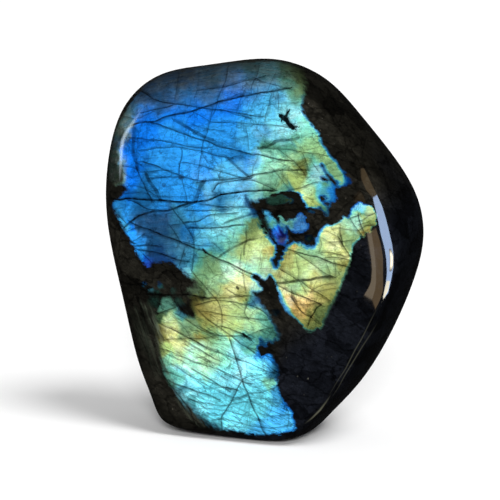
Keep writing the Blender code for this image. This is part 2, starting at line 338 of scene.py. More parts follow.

# Soft spots of the play of colour, a painted sheen, by their tints. The pale, dim ones along the left edge,
# x 111 to 121, paint the grey veil that the rounded left edge mirrors: a painted reflection over a dim flash.
GLOWS = glows({
    Tint.INDIGO: ((281, 231, 4, 0.5), (282, 240, 4, 0.64, 0.08)),
    Tint.VIOLET_BLUE: ((349, 180, 4, 0.4), (148, 262, 4, 0.75)),
    Tint.ELECTRIC: (
        (230, 93, 9, 0.76, 0.05), (232, 107, 10, 0.92), (175, 112, 10, 0.86), (203, 113, 10, 0.92),
        (152, 116, 9, 0.88), (141, 122, 8, 0.85), (150, 136, 9, 0.92), (133, 140, 7, 0.76),
        (128, 161, 6, 1), (140, 166, 6, 0.72), (130, 180, 6, 1), (127, 197, 4, 0.7), (250, 209, 4, 0.42),
        (131, 226, 4, 1.12), (276, 229, 2.5, 1.03, 0.04), (162, 256, 7, 0.38, 0.05),
    ),
    Tint.AZURE: (
        (180, 75, 10, 0.18, 0.5), (228, 79, 9, 0.32, 0.25), (247, 80, 7, 0.42, 0.2),
        (152, 81, 9, 0.21, 0.4), (203, 84, 10, 0.28, 0.3), (172, 87, 10, 0.24, 0.3),
        (252, 91, 8, 0.81, 0.05), (146, 92, 8, 0.2, 0.16), (206, 95, 9, 0.56, 0.05),
        (184, 97, 9, 0.52, 0.05), (136, 98, 8, 0.36, 0.18), (160, 99, 8, 0.39, 0.07),
        (143, 102, 7, 0.31, 0.24), (232, 121, 9, 0.96), (173, 131, 10, 0.98), (208, 131, 8, 0.92),
        (226, 142, 8, 0.88), (190, 150, 12, 1), (222, 153, 7, 0.84), (163, 155, 11, 0.92),
        (241, 156, 6, 0.72), (210, 163, 6, 1), (250, 164, 6, 0.98, 0.05), (202, 170, 8, 1.06, 0.05),
        (166, 181, 9, 0.92), (150, 183, 8, 0.66), (188, 185, 10, 0.98), (287, 190, 4, 0.4, 0.14),
        (141, 193, 6, 0.6), (331, 196, 5, 0.72), (221, 199, 5, 0.5), (247, 202, 3.5, 0.2, 0.05),
        (158, 204, 7, 0.82), (120, 208, 6, 0.74), (141, 208, 6, 0.5), (200, 208, 7, 0.94),
        (129, 213, 6, 0.99), (301, 217, 4, 0.74, 0.08), (145, 220, 7, 0.44, 0.09),
        (162, 222, 8, 0.42, 0.09), (300, 227, 5, 0.7, 0.1), (187, 232, 6, 0.66), (134, 237, 6, 1.14),
        (157, 243, 10, 0.44, 0.05), (139, 247, 5, 0.99), (142, 256, 4, 0.92), (254, 300, 5, 0.42, 0.11),
        (266, 358, 4, 0.8), (286, 406, 4, 0.75),
    ),
    Tint.SKY: (
        (215, 70, 11, 0.2, 0.45), (262, 80, 8, 0.38, 0.25), (277, 88, 7, 0.55, 0.15), (271, 100, 9, 0.86),
        (128, 105, 8, 0.36, 0.3), (254, 115, 9, 0.98), (266, 133, 7, 0.82, 0.09), (247, 138, 8, 0.92),
        (113, 142, 6, 0.22, 0.42), (225, 170, 6, 1.02), (239, 171, 6, 1, 0.07), (218, 176, 6, 0.98, 0.04),
        (246, 185, 7, 0.88, 0.12), (200, 186, 4, 0.5), (227, 186, 7, 1.02, 0.09), (319, 188, 5, 0.9),
        (209, 191, 6, 0.92, 0.09), (238, 200, 6, 1.02, 0.12), (225, 201, 8, 0.66),
        (360, 206.5, 4, 1.01, 0.14), (252, 210, 4, 0.34), (117, 215, 4, 0.78), (268, 216, 3.5, 0.8),
        (180, 217, 6, 0.58), (122, 223, 4, 1.01), (203, 226, 7, 0.82), (172, 236, 6, 0.46, 0.06),
        (202, 244, 6, 0.9), (178, 250, 8, 0.61, 0.06), (190, 258, 6, 0.66), (179, 316, 4, 0.5),
        (262, 343, 4, 0.36), (269, 367, 4, 0.8), (277, 370, 5, 0.3), (276, 397, 4, 0.62),
        (276, 411, 6, 0.94), (289, 418, 5, 0.8), (271, 422, 7, 0.95), (287, 427, 6, 0.9),
        (260, 430, 6, 0.78),
    ),
    Tint.CYAN: (
        (250, 67, 9, 0.2, 0.4), (270, 70, 8, 0.28, 0.3), (291, 107, 8, 0.84, 0.15), (276, 121, 8, 1, 0.1),
        (294, 122, 7, 0.96, 0.3), (284, 133, 7, 0.92, 0.25), (318, 172, 5, 0.85, 0.3),
        (256, 195, 6, 0.72, 0.1), (240, 212, 7, 0.98, 0.2), (219, 220, 8, 0.98, 0.15),
        (241, 221, 7, 0.9, 0.1), (216, 236, 8, 0.92, 0.1), (214, 252, 6, 0.55), (188, 270, 5, 0.82, 0.15),
        (246, 341, 5, 0.55), (236, 350, 6, 0.84, 0.2), (257, 366, 7, 1.05, 0.05), (241, 369, 8, 0.92, 0.25),
        (178, 371, 5, 0.8, 0.2), (223, 379, 8, 0.86, 0.15), (195, 381, 7, 0.97, 0.1),
        (252, 384, 8, 0.86, 0.05), (186, 388, 3.5, 0.4), (206, 391, 7, 0.92), (226, 393, 7, 0.84),
        (262, 393, 6, 0.87), (189, 395, 6, 0.92, 0.2), (244, 397, 7, 0.76), (190, 403, 4, 0.4),
        (201, 404, 6, 0.9, 0.1), (221, 405, 7, 0.8), (264, 407, 7, 0.79), (240, 408, 7, 0.79),
        (201, 414, 4, 0.45), (216, 415, 6, 0.83), (252, 417, 6, 0.81), (211, 422, 4, 0.4),
        (235, 423, 7, 0.97, 0.05),
    ),
    Tint.MINT: (
        # Painted reflection: the pale glows at x 111 to 121 paint the veil mirrored on the rounded left edge.
        (288, 83, 7, 0.4, 0.2), (296, 97, 6, 0.5, 0.1), (121, 116, 7, 0.31, 0.7), (116, 129, 6, 0.27, 0.7),
        (303, 130, 7, 0.9, 0.1), (268, 147, 6, 0.55), (286, 147, 7, 0.62), (111, 155, 6, 0.2, 0.8),
        (312, 163, 6, 0.72), (275, 165, 8, 0.95, 0.2), (262, 166, 7, 0.92, 0.25), (111, 168, 6, 0.18, 0.8),
        (275, 179, 7, 0.62, 0.1), (313, 182, 6, 0.9, 0.3), (259, 185, 6, 0.98, 0.4), (273, 193, 6, 0.52),
        (326, 211, 5, 0.42), (347, 219, 4, 0.77, 0.23), (288, 222, 4, 0.64, 0.08), (272, 223, 3.5, 0.72),
        (356, 226, 5, 0.93, 0.38), (238, 231, 8, 0.85, 0.15), (228, 246, 7, 0.79, 0.08),
        (199, 258, 6, 0.58), (229, 261, 7, 0.94, 0.2), (250, 268, 6, 1, 0.4), (222, 284, 3.5, 0.73, 0.1),
        (255, 285, 5, 0.9, 0.45), (167, 305, 5, 0.5, 0.1), (263, 318, 5, 0.71, 0.1), (270, 326, 5, 0.44),
        (257, 336, 6, 0.5), (273, 336, 5, 0.39), (223, 344, 7, 0.84, 0.15), (249, 349, 5, 0.62),
        (192, 351, 7, 0.9, 0.35), (169, 360, 4, 0.8), (226, 362, 6, 0.84, 0.1), (192, 365, 7, 0.88, 0.35),
        (207, 372, 7, 0.88, 0.25), (173, 376, 4, 0.8), (272, 384, 4, 0.74, 0.1),
    ),
    Tint.PALE_GREEN: (
        (292, 70, 8, 0.18, 0.3), (298, 86, 6, 0.38, 0.1), (303, 147, 7, 0.82), (318, 152, 8, 0.8),
        (288, 163, 7, 0.92, 0.1), (330, 168, 7, 0.68), (338, 178, 6, 0.72), (272, 185, 7, 0.7),
        (326, 187, 4, 0.5), (254, 223, 6, 0.55), (347, 225, 5, 0.95, 0.28), (351, 236, 6, 0.7, 0.08),
        (321, 249, 6, 0.85, 0.18), (309, 254, 6, 0.8, 0.08), (314, 261, 6, 0.8, 0.18),
        (263, 262, 7, 1, 0.25), (212, 264, 7, 0.6), (327, 268, 6, 0.88, 0.23), (266, 271, 5, 0.8, 0.3),
        (200, 272, 6, 0.68), (232, 273, 6, 1.12, 0.6), (217, 277, 6, 0.86, 0.15), (298, 287, 6, 0.88, 0.18),
        (214, 288, 6, 0.8, 0.15), (196, 291, 4, 0.42, 0.3), (202, 296, 3, 0.5, 0.2),
        (250, 312, 8, 0.94, 0.2), (160, 315, 4, 0.32), (250, 326, 8, 0.85, 0.15), (190, 328, 8, 0.58, 0.1),
        (212, 338, 7, 0.6), (206, 352, 7, 0.84, 0.2), (176, 358, 6, 0.85, 0.25), (211, 361, 6, 0.81, 0.2),
    ),
    Tint.YELLOW_GREEN: (
        (299, 74, 6, 0.2), (303, 92, 5, 0.36), (290, 179, 8, 0.8), (111, 180, 6, 0.16, 0.7),
        (299, 182, 6, 0.85), (287, 184, 6, 0.72), (305, 192, 6, 1.1, 0.2), (313, 200, 6, 0.8),
        (368, 210, 4, 0.86, 0.33), (361, 214, 4, 0.88, 0.08), (370, 219, 5, 0.63), (256, 222, 4, 0.36),
        (335, 227, 5, 0.92, 0.18), (255, 232, 6, 0.52), (345, 238, 5, 0.72, 0.08), (245, 240, 6, 0.55),
        (262, 241, 6, 0.88, 0.1), (255, 250, 8, 1.06, 0.25), (239, 254, 7, 0.85, 0.1),
        (333, 257, 7, 0.88, 0.13), (276, 262, 3, 0.5), (299, 262, 8, 0.89, 0.08), (312, 271, 7, 1.05, 0.28),
        (291, 275, 7, 0.9, 0.13), (337, 276, 7, 0.64, 0.08), (205, 291, 4, 0.34), (333, 298, 5, 0.42),
        (232, 307, 8, 0.94, 0.15), (319, 315, 6, 0.42), (198, 319, 3.5, 0.45), (174, 321, 6, 0.92, 0.25),
        (233, 322, 8, 0.86, 0.1), (312, 327, 4, 0.42), (168, 347, 4, 0.8), (180, 349, 6, 0.78, 0.3),
    ),
    Tint.YELLOW: (
        (304, 169, 4, 0.42), (332, 236, 7, 0.98, 0.23), (331, 246, 7, 1.04, 0.28),
        (341, 252, 6, 1.01, 0.18), (286, 259, 5, 0.64, 0.08), (345, 266, 5, 0.58), (279, 273, 4, 0.7, 0.13),
        (247, 281, 5, 0.98, 0.36), (238, 282, 6, 1.1, 0.31), (316, 283, 6, 0.88, 0.13),
        (329, 286, 7, 0.7, 0.08), (235, 291, 5, 0.95, 0.2), (285, 291, 4, 0.98, 0.28),
        (224, 293, 6, 0.85, 0.15), (246, 294, 5, 0.62), (326, 295, 6, 0.6), (318, 298, 5, 0.72, 0.08),
        (201, 300, 5, 0.29), (195, 304, 3.5, 0.3), (207, 306, 7, 0.73, 0.1), (203, 309, 5, 0.37),
        (217, 311, 7, 0.76, 0.1), (195, 312, 3.5, 0.3), (207, 319, 6, 0.55), (306, 320, 5, 0.55),
        (163, 332, 4, 0.32), (172, 332, 6, 0.82, 0.25), (181, 340, 6, 0.84, 0.2),
    ),
    Tint.GOLD: (
        (366, 229, 4, 0.52), (294, 247, 4, 0.82, 0.08), (269, 252, 4, 0.65), (304, 299, 7, 1.11, 0.18),
        (290, 301, 4, 0.98, 0.33), (200, 304, 4, 0.5), (309, 306, 6, 0.87, 0.08), (204, 313, 4, 0.72),
        (300, 313, 5, 0.64, 0.08), (200, 340, 5, 0.42),
    ),
})

# Fractures and cleavage lines, each with its width and darkness first. These cross the upper field.
UPPER_LINES = lines(
    (4.6, 1, 281, 116, 284, 118, 286, 120), (4.4, 1, 286, 119, 289, 124, 293, 128),
    (2.8, 0.9, 288, 112, 286, 116, 283, 119), (1.6, 0.8, 291, 127, 296, 127),
    (1.4, 0.55, 139, 90, 145, 93, 149, 96, 155, 100, 162, 102, 168, 103, 177, 104, 185, 105, 192, 106,
     201, 108, 209, 109, 220, 110, 228, 111, 236, 113, 245, 114, 253, 116, 263, 117),
    (2, 0.64, 132, 125, 138, 123, 145, 122, 151, 122, 157, 121, 162, 118, 168, 116, 177, 114, 185, 113,
     193, 111, 201, 108, 208, 106, 214, 104, 220, 101, 228, 100, 235, 98, 243, 96, 252, 95, 258, 93,
     267, 92, 275, 91, 283, 89, 290, 88),
    (1.3, 0.5, 141, 113, 148, 111, 157, 109, 163, 108, 168, 107, 173, 105),
    (1.1, 0.4, 139, 118, 144, 116, 150, 113, 155, 111),
    (1.7, 0.58, 152, 123, 158, 124, 165, 127, 172, 129, 178, 132, 185, 134, 192, 137, 198, 139, 208, 141,
     217, 146, 225, 148, 232, 149, 239, 151, 246, 153, 253, 155, 258, 154, 265, 156, 272, 158, 280, 160,
     293, 161),
    (1.3, 0.5, 129, 138, 141, 138, 148, 140, 157, 140, 163, 141, 172, 143, 178, 144, 185, 146, 192, 147,
     198, 148, 208, 148),
    (1.2, 0.5, 142, 150, 148, 150, 155, 148, 163, 148, 172, 147, 178, 147, 185, 148, 192, 150, 201, 151,
     208, 153, 217, 156, 225, 157, 232, 158),
    (3, 0.42, 174, 120, 182, 124, 188, 128, 197, 133, 205, 137, 213, 140),
    (1, 0.4, 195, 113, 201, 116, 208, 120), (1, 0.35, 192, 124, 199, 127, 207, 129, 215, 130, 225, 131),
    (3.4, 0.35, 134, 128, 134, 138, 133, 146, 133, 154, 136, 160, 137, 168),
    (1, 0.3, 179, 74, 178, 80, 177, 86, 176, 93, 175, 99), (0.9, 0.25, 199, 72, 199, 79, 198, 87, 197, 91),
    (1.2, 0.42, 212, 111, 210, 121, 208, 129, 206, 136, 203, 142, 202, 148, 201, 154, 200, 162, 199, 170,
     198, 179), (1, 0.35, 202, 153, 205, 159, 208, 163),
    (1.3, 0.5, 182, 150, 182, 157, 180, 163, 179, 170, 179, 175), (1.3, 0.3, 184, 134, 185, 140),
    (1.1, 0.35, 121, 116, 128, 117, 134, 119),
    (1.5, 0.55, 144, 162, 150, 164, 157, 166, 163, 169, 170, 172, 177, 174, 181, 176),
    (1.2, 0.45, 183, 162, 193, 164, 200, 165, 208, 168, 215, 170, 222, 172, 229, 174, 235, 176, 241, 177),
    (1, 0.35, 233, 138, 240, 138, 247, 136), (1.1, 0.4, 228, 160, 235, 156, 242, 156),
    (1.3, 0.45, 200, 90, 208, 89, 217, 88, 225, 87, 232, 85, 238, 83, 247, 80, 253, 80, 258, 78, 265, 76),
    (1, 0.4, 257, 79, 263, 82, 271, 84, 278, 86, 287, 88, 292, 90),
    (1.1, 0.4, 229, 112, 236, 115, 243, 116, 250, 118, 253, 120),
    (1.2, 0.45, 212, 122, 222, 123, 232, 122, 242, 123, 252, 124, 262, 125, 272, 125, 280, 126, 290, 128),
    (1.2, 0.4, 228, 67, 227, 73, 226, 80, 223, 86, 221, 91, 218, 98, 217, 105, 215, 111, 212, 116),
    (1, 0.35, 259, 66, 258, 73, 256, 78, 252, 84, 251, 90), (1, 0.35, 258, 91, 257, 96, 254, 101, 252, 107),
    (1, 0.3, 245, 89, 242, 96, 239, 102, 238, 108), (1, 0.3, 274, 76, 270, 84, 268, 90),
    (1.1, 0.35, 270, 97, 269, 105, 266, 113, 265, 121),
    (1, 0.35, 269, 105, 275, 104, 283, 103, 290, 103, 297, 103), (1, 0.3, 278, 94, 279, 101, 278, 108),
    (1, 0.35, 246, 129, 248, 137, 248, 143, 249, 149), (0.9, 0.3, 236, 138, 235, 146),
    (1, 0.35, 258, 156, 256, 162, 253, 168, 252, 175),
    (2.6, 0.45, 228, 158, 233, 163, 238, 168, 243, 172, 248, 176), (0.9, 0.3, 211, 155, 217, 164),
    (3.2, 0.45, 261, 148, 272, 145, 275, 141, 283, 140, 292, 140, 298, 138),
    (1.3, 0.4, 265, 148, 275, 149, 283, 149, 292, 150, 300, 152, 310, 153, 319, 154, 327, 156),
    (1.3, 0.45, 278, 149, 287, 156, 294, 161, 300, 168, 304, 173), (1.1, 0.4, 303, 154, 306, 161, 308, 169),
    (2, 0.55, 200, 182, 208, 180, 215, 180, 222, 180, 230, 179, 238, 178, 245, 178, 250, 176, 258, 174,
     266, 173, 273, 172, 280, 170, 290, 170, 300, 170, 309, 170),
    (1.6, 0.6, 214, 189, 217, 184, 224, 182, 232, 181, 240, 180, 246, 179, 251, 178),
    (1.3, 0.5, 244, 180, 253, 180, 260, 183, 267, 186, 275, 190),
    (0.9, 0.4, 272, 168, 279, 176, 284, 183, 288, 188), (0.9, 0.35, 280, 171, 286, 179, 291, 186),
    (1.4, 0.5, 289, 190, 297, 189, 303, 187, 310, 184, 317, 182), (1, 0.45, 218, 175, 220, 179),
    (1, 0.4, 292, 172, 300, 173, 306, 176), (1, 0.35, 309, 168, 317, 166, 324, 166, 331, 163),
    (0.9, 0.35, 333, 177, 339, 176, 345, 174), (1.1, 0.4, 313, 164, 316, 168, 318, 171),
)

# Fractures of the middle, from the bright left edge to the green field.
MIDDLE_LINES = lines(
    (2, 0.8, 113, 199, 120, 200, 128, 198, 136, 199, 150, 200, 160, 200, 170, 201, 178, 202, 186, 202,
     195, 202, 203, 201, 209, 200, 214, 198, 219, 195, 225, 194, 233, 193, 241, 192, 248, 191, 256, 191,
     264, 190, 273, 191),
    (2.2, 0.7, 126, 226, 129, 223, 133, 220, 138, 216, 144, 214, 150, 212, 158, 211, 166, 211, 173, 209,
     180, 206, 187, 204, 195, 202),
    (1.8, 0.62, 130, 222, 136, 225, 143, 228, 149, 229, 155, 232, 162, 235, 170, 238, 177, 240, 184, 244,
     190, 246, 196, 249, 203, 250, 208, 254, 214, 257, 220, 260, 227, 262, 235, 266, 242, 270, 249, 273,
     254, 275), (1.3, 0.6, 129, 200, 135, 202, 140, 205, 145, 208, 151, 210, 158, 210),
    (1.2, 0.5, 112, 208, 118, 214, 122, 219, 125, 222),
    (1.4, 0.42, 173, 210, 178, 216, 183, 222, 187, 228, 191, 234, 194, 240, 194, 246, 194, 254, 193, 262,
     192, 270), (1.1, 0.5, 141, 172, 148, 172, 155, 171, 163, 170, 172, 171),
    (1.2, 0.55, 150, 178, 158, 178, 165, 177, 172, 177, 180, 177, 186, 177, 190, 179, 196, 180, 203, 181),
    (1.1, 0.4, 182, 180, 184, 188, 186, 195, 187, 201), (1.1, 0.45, 123, 166, 130, 167, 135, 168, 138, 170),
    (1.3, 0.5, 137, 169, 140, 177, 144, 184, 146, 190, 149, 195, 152, 200),
    (3.4, 0.45, 146, 174, 149, 181, 153, 186, 157, 192, 160, 199),
    (1, 0.4, 122, 171, 127, 176, 131, 178, 137, 176),
    (1.1, 0.45, 130, 186, 137, 186, 143, 188, 150, 192, 156, 196),
    (1, 0.4, 124, 193, 131, 194, 139, 192, 148, 194), (4, 0.40, 204, 181, 200, 187, 198, 193, 196, 200),
    (1.1, 0.4, 160, 196, 170, 197, 180, 197, 190, 196), (1, 0.4, 196, 197, 203, 196, 210, 196, 216, 194),
    (1.3, 0.55, 200, 204, 208, 205, 215, 206, 222, 207, 231, 207, 240, 207, 248, 207, 253, 208),
    (1.2, 0.5, 186, 210, 195, 211, 205, 211, 215, 210, 224, 210),
    (1.5, 0.5, 186, 222, 193, 222, 199, 221, 204, 218, 209, 215, 216, 214, 226, 214, 236, 213),
    (1.7, 0.6, 189, 228, 198, 228, 207, 228, 216, 228, 226, 227, 235, 225, 244, 225),
    (1, 0.35, 194, 238, 203, 238, 212, 238, 220, 235), (1.1, 0.45, 184, 242, 193, 245, 203, 246, 213, 246),
    (2.4, 0.42, 225, 223, 232, 220, 239, 218, 246, 216, 253, 214, 258, 213),
    (1.2, 0.4, 172, 225, 180, 224, 187, 223), (1.4, 0.5, 136, 246, 143, 245, 150, 245, 158, 246),
    (1.6, 0.6, 139, 250, 147, 251, 155, 252, 162, 254, 168, 256, 175, 259, 182, 261, 188, 262),
    (1.2, 0.5, 143, 254, 147, 258, 151, 262), (1, 0.45, 133, 241, 139, 238, 144, 234),
    (1.1, 0.45, 128, 231, 133, 229, 139, 227), (1.3, 0.4, 170, 226, 174, 231, 177, 236, 180, 241),
    (1.5, 0.5, 184, 250, 182, 257, 180, 264), (1, 0.4, 213, 243, 218, 247, 222, 251),
    (2.4, 0.45, 220, 256, 227, 251, 234, 247, 241, 244, 248, 240, 254, 239),
    (2.2, 0.35, 246, 228, 246, 234, 247, 240, 244, 247, 244, 254), (1.2, 0.4, 258, 215, 262, 222, 263, 229),
    (1.4, 0.42, 192, 271, 197, 278, 203, 284, 208, 290, 213, 296, 217, 300, 220, 306, 222, 313, 222, 320,
     222, 327), (1.1, 0.4, 241, 254, 240, 262, 240, 268),
    (1.8, 0.5, 199, 298, 208, 298, 216, 298, 225, 298, 233, 297, 242, 296, 251, 296),
    (1.4, 0.5, 197, 305, 204, 303, 211, 301, 218, 300, 226, 301, 234, 302, 242, 304, 250, 305, 257, 308,
     263, 311, 268, 316),
    (1.2, 0.5, 201, 311, 210, 312, 220, 314, 230, 316, 240, 317, 250, 318, 260, 320, 269, 320),
    (1.1, 0.5, 247, 304, 246, 308, 244, 312, 246, 316, 248, 318), (1, 0.4, 230, 302, 236, 305, 241, 309),
    (1.7, 0.46, 199, 311, 206, 318, 213, 323, 220, 328, 227, 333, 234, 338, 241, 344, 248, 348, 255, 353),
    (1.6, 0.6, 220, 326, 228, 328, 235, 331, 242, 334, 247, 336),
    (1.5, 0.5, 200, 327, 207, 331, 214, 334, 222, 336, 230, 336, 238, 336, 244, 336),
    (1.3, 0.4, 247, 336, 256, 332, 264, 329, 272, 328), (1.2, 0.4, 242, 272, 244, 277, 244, 284, 246, 290),
    (1, 0.35, 230, 281, 238, 285, 246, 288), (1.3, 0.45, 228, 290, 234, 294, 240, 296),
    (1, 0.35, 254, 258, 261, 258, 268, 259), (1, 0.3, 206, 262, 210, 268, 213, 273),
    (1.3, 0.35, 231, 266, 238, 271, 246, 275, 252, 278),
)

# Fractures of the gold and green wedge.
WEDGE_LINES = lines(
    (2.8, 0.62, 277, 283, 283, 283, 290, 282, 297, 281, 303, 280, 310, 280, 316, 278, 324, 277, 332, 277),
    (1.4, 0.6, 281, 270, 287, 273, 293, 277, 297, 280),
    (1.3, 0.55, 301, 281, 308, 287, 314, 291, 320, 294, 325, 297, 329, 300),
    (1.5, 0.6, 277, 285, 283, 288, 290, 292, 297, 295, 304, 297, 310, 300, 316, 302, 321, 305),
    (1.5, 0.6, 290, 250, 297, 252, 304, 254, 311, 256, 318, 257, 325, 260, 333, 263, 340, 265, 345, 266),
    (1.3, 0.5, 296, 253, 302, 257, 308, 261, 314, 265, 320, 270, 326, 274, 331, 276),
    (1.5, 0.55, 339, 238, 342, 244, 346, 250, 350, 256), (1, 0.35, 322, 238, 329, 242, 336, 246),
    (1.2, 0.45, 322, 252, 330, 252, 337, 254, 344, 256),
    (1.2, 0.45, 325, 258, 333, 257, 341, 258, 349, 260), (2, 0.5, 340, 228, 340, 234, 342, 240, 342, 244),
    (1.2, 0.45, 330, 242, 337, 242, 345, 241, 353, 240), (1, 0.4, 333, 228, 340, 228, 348, 230, 356, 230),
    (1.2, 0.5, 350, 218, 353, 224, 358, 230, 362, 236), (1.4, 0.55, 358, 214, 359, 220, 361, 226, 364, 232),
    (1.3, 0.5, 351, 218, 357, 216, 363, 213, 367, 216, 372, 215), (1, 0.45, 359, 221, 363, 220, 367, 217),
    (1.4, 0.5, 362, 228, 367, 225, 374, 226), (1, 0.35, 326, 231, 333, 234, 339, 238),
    (1.2, 0.4, 300, 282, 303, 287, 306, 292), (1.1, 0.4, 304, 291, 312, 292, 320, 291, 329, 289, 338, 288),
    (1.8, 0.6, 321, 305, 316, 308, 314, 313, 311, 317, 309, 322, 308, 325),
    (1.6, 0.55, 291, 297, 295, 303, 299, 309, 304, 314, 311, 317),
    (3.4, 0.42, 292, 292, 293, 297, 296, 302), (1.1, 0.4, 297, 305, 304, 305, 312, 304, 320, 303),
    (1.2, 0.45, 311, 317, 315, 321, 319, 324), (1, 0.35, 335, 262, 336, 270, 336, 277),
    (1, 0.35, 327, 265, 330, 272, 330, 279), (1.2, 0.4, 314, 289, 320, 286, 327, 284, 336, 283),
    (1, 0.35, 296, 258, 297, 265, 299, 271, 298, 277), (1, 0.3, 319, 237, 322, 243, 320, 250),
)

# Fractures of the turquoise field above the base.
LOWER_LINES = lines(
    (1.8, 0.56, 148, 311, 153, 317, 158, 322, 164, 326, 170, 328, 178, 332, 185, 336, 191, 339, 197, 342,
     203, 346, 210, 350, 216, 352),
    (1.5, 0.44, 164, 340, 172, 339, 181, 339, 190, 338, 199, 339, 207, 338, 214, 336),
    (1.5, 0.44, 176, 314, 184, 318, 191, 323, 198, 328, 205, 332, 212, 334, 219, 336),
    (1.1, 0.32, 173, 317, 180, 323, 186, 330, 190, 337),
    (1.5, 0.48, 156, 314, 163, 312, 168, 310, 174, 308),
    (1.9, 0.54, 230, 340, 232, 346, 234, 352, 236, 358, 238, 365, 240, 372, 242, 379, 244, 386, 248, 393,
     250, 400, 253, 408, 257, 415, 260, 422, 262, 429, 266, 435),
    (1.4, 0.44, 162, 349, 170, 351, 176, 354, 183, 357, 190, 360, 197, 363, 204, 365, 212, 367, 219, 370,
     226, 373, 233, 376, 240, 380, 246, 383, 252, 384),
    (1.8, 0.40, 186, 341, 193, 346, 200, 350, 207, 354, 213, 358, 220, 361),
    (1.4, 0.40, 200, 344, 207, 348, 213, 350, 221, 353, 229, 356, 237, 360, 244, 361, 250, 363, 257, 367,
     264, 370), (2.1, 0.32, 203, 359, 208, 362, 214, 363, 220, 365),
    (1.1, 0.40, 172, 364, 180, 369, 187, 374, 194, 378, 201, 382, 207, 385),
    (1.8, 0.48, 164, 371, 171, 373, 178, 376), (0.9, 0.32, 178, 376, 185, 380, 193, 384),
    (1.6, 0.48, 192, 369, 199, 373, 206, 377, 213, 381, 220, 386, 227, 388, 237, 390),
    (1.1, 0.40, 203, 379, 210, 382, 217, 386),
    (1.8, 0.52, 168, 380, 175, 384, 182, 386, 190, 389, 198, 392, 206, 394, 213, 397, 220, 400),
    (1.1, 0.40, 192, 389, 200, 388, 208, 388, 216, 388, 224, 387, 232, 388),
    (1.2, 0.40, 183, 396, 191, 400, 199, 402, 207, 403, 215, 405, 222, 406, 229, 405, 236, 403, 243, 402,
     250, 402),
    (1.1, 0.36, 189, 409, 197, 409, 205, 408, 213, 409, 221, 410, 228, 411, 235, 413, 243, 415, 251, 416),
    (1.7, 0.50, 241, 382, 238, 387, 236, 392, 233, 398, 230, 404, 226, 410, 222, 416, 221, 420, 222, 426,
     222, 432), (1.4, 0.40, 219, 392, 227, 395, 234, 398, 241, 397, 247, 394),
    (2.6, 0.32, 234, 400, 240, 398, 246, 396),
    (1.3, 0.40, 213, 420, 222, 419, 230, 420, 237, 422, 244, 424, 251, 426, 258, 427, 266, 428, 275, 428,
     285, 426, 293, 424), (1.2, 0.40, 243, 379, 250, 376, 259, 375, 267, 373, 276, 372),
    (1, 0.32, 254, 380, 262, 377, 271, 378), (1.2, 0.40, 250, 393, 258, 393, 266, 391, 274, 388),
    (1.1, 0.36, 250, 397, 258, 398, 266, 399, 273, 402, 280, 403),
    (1.1, 0.36, 251, 401, 258, 404, 264, 407, 270, 410, 277, 413, 284, 415),
    (1.1, 0.40, 259, 413, 267, 416, 276, 416, 285, 415, 292, 414),
    (1.1, 0.36, 261, 358, 266, 363, 271, 368, 277, 372), (1, 0.32, 267, 357, 272, 362, 278, 367),
    (0.9, 0.32, 238, 361, 245, 357, 252, 356), (0.9, 0.28, 246, 364, 247, 371, 246, 377),
    (0.9, 0.28, 245, 409, 247, 403, 249, 398), (0.9, 0.32, 253, 421, 260, 420, 268, 419),
    (1.1, 0.36, 282, 402, 286, 407, 289, 413, 289, 420, 288, 425),
    (0.9, 0.32, 233, 406, 240, 409, 248, 413), (0.9, 0.28, 200, 396, 207, 400, 214, 402),
    (1, 0.32, 208, 414, 216, 416, 223, 414), (1.1, 0.32, 250, 369, 258, 370, 266, 371),
    (0.9, 0.28, 256, 387, 263, 386, 270, 384), (1, 0.32, 262, 382, 268, 380, 275, 380),
    (1, 0.28, 224, 372, 229, 366, 232, 360), (0.9, 0.28, 212, 343, 221, 344, 230, 346),
    (1.1, 0.32, 252, 345, 258, 345, 263, 341), (1, 0.32, 224, 429, 232, 426, 243, 427, 253, 430, 262, 432),
)

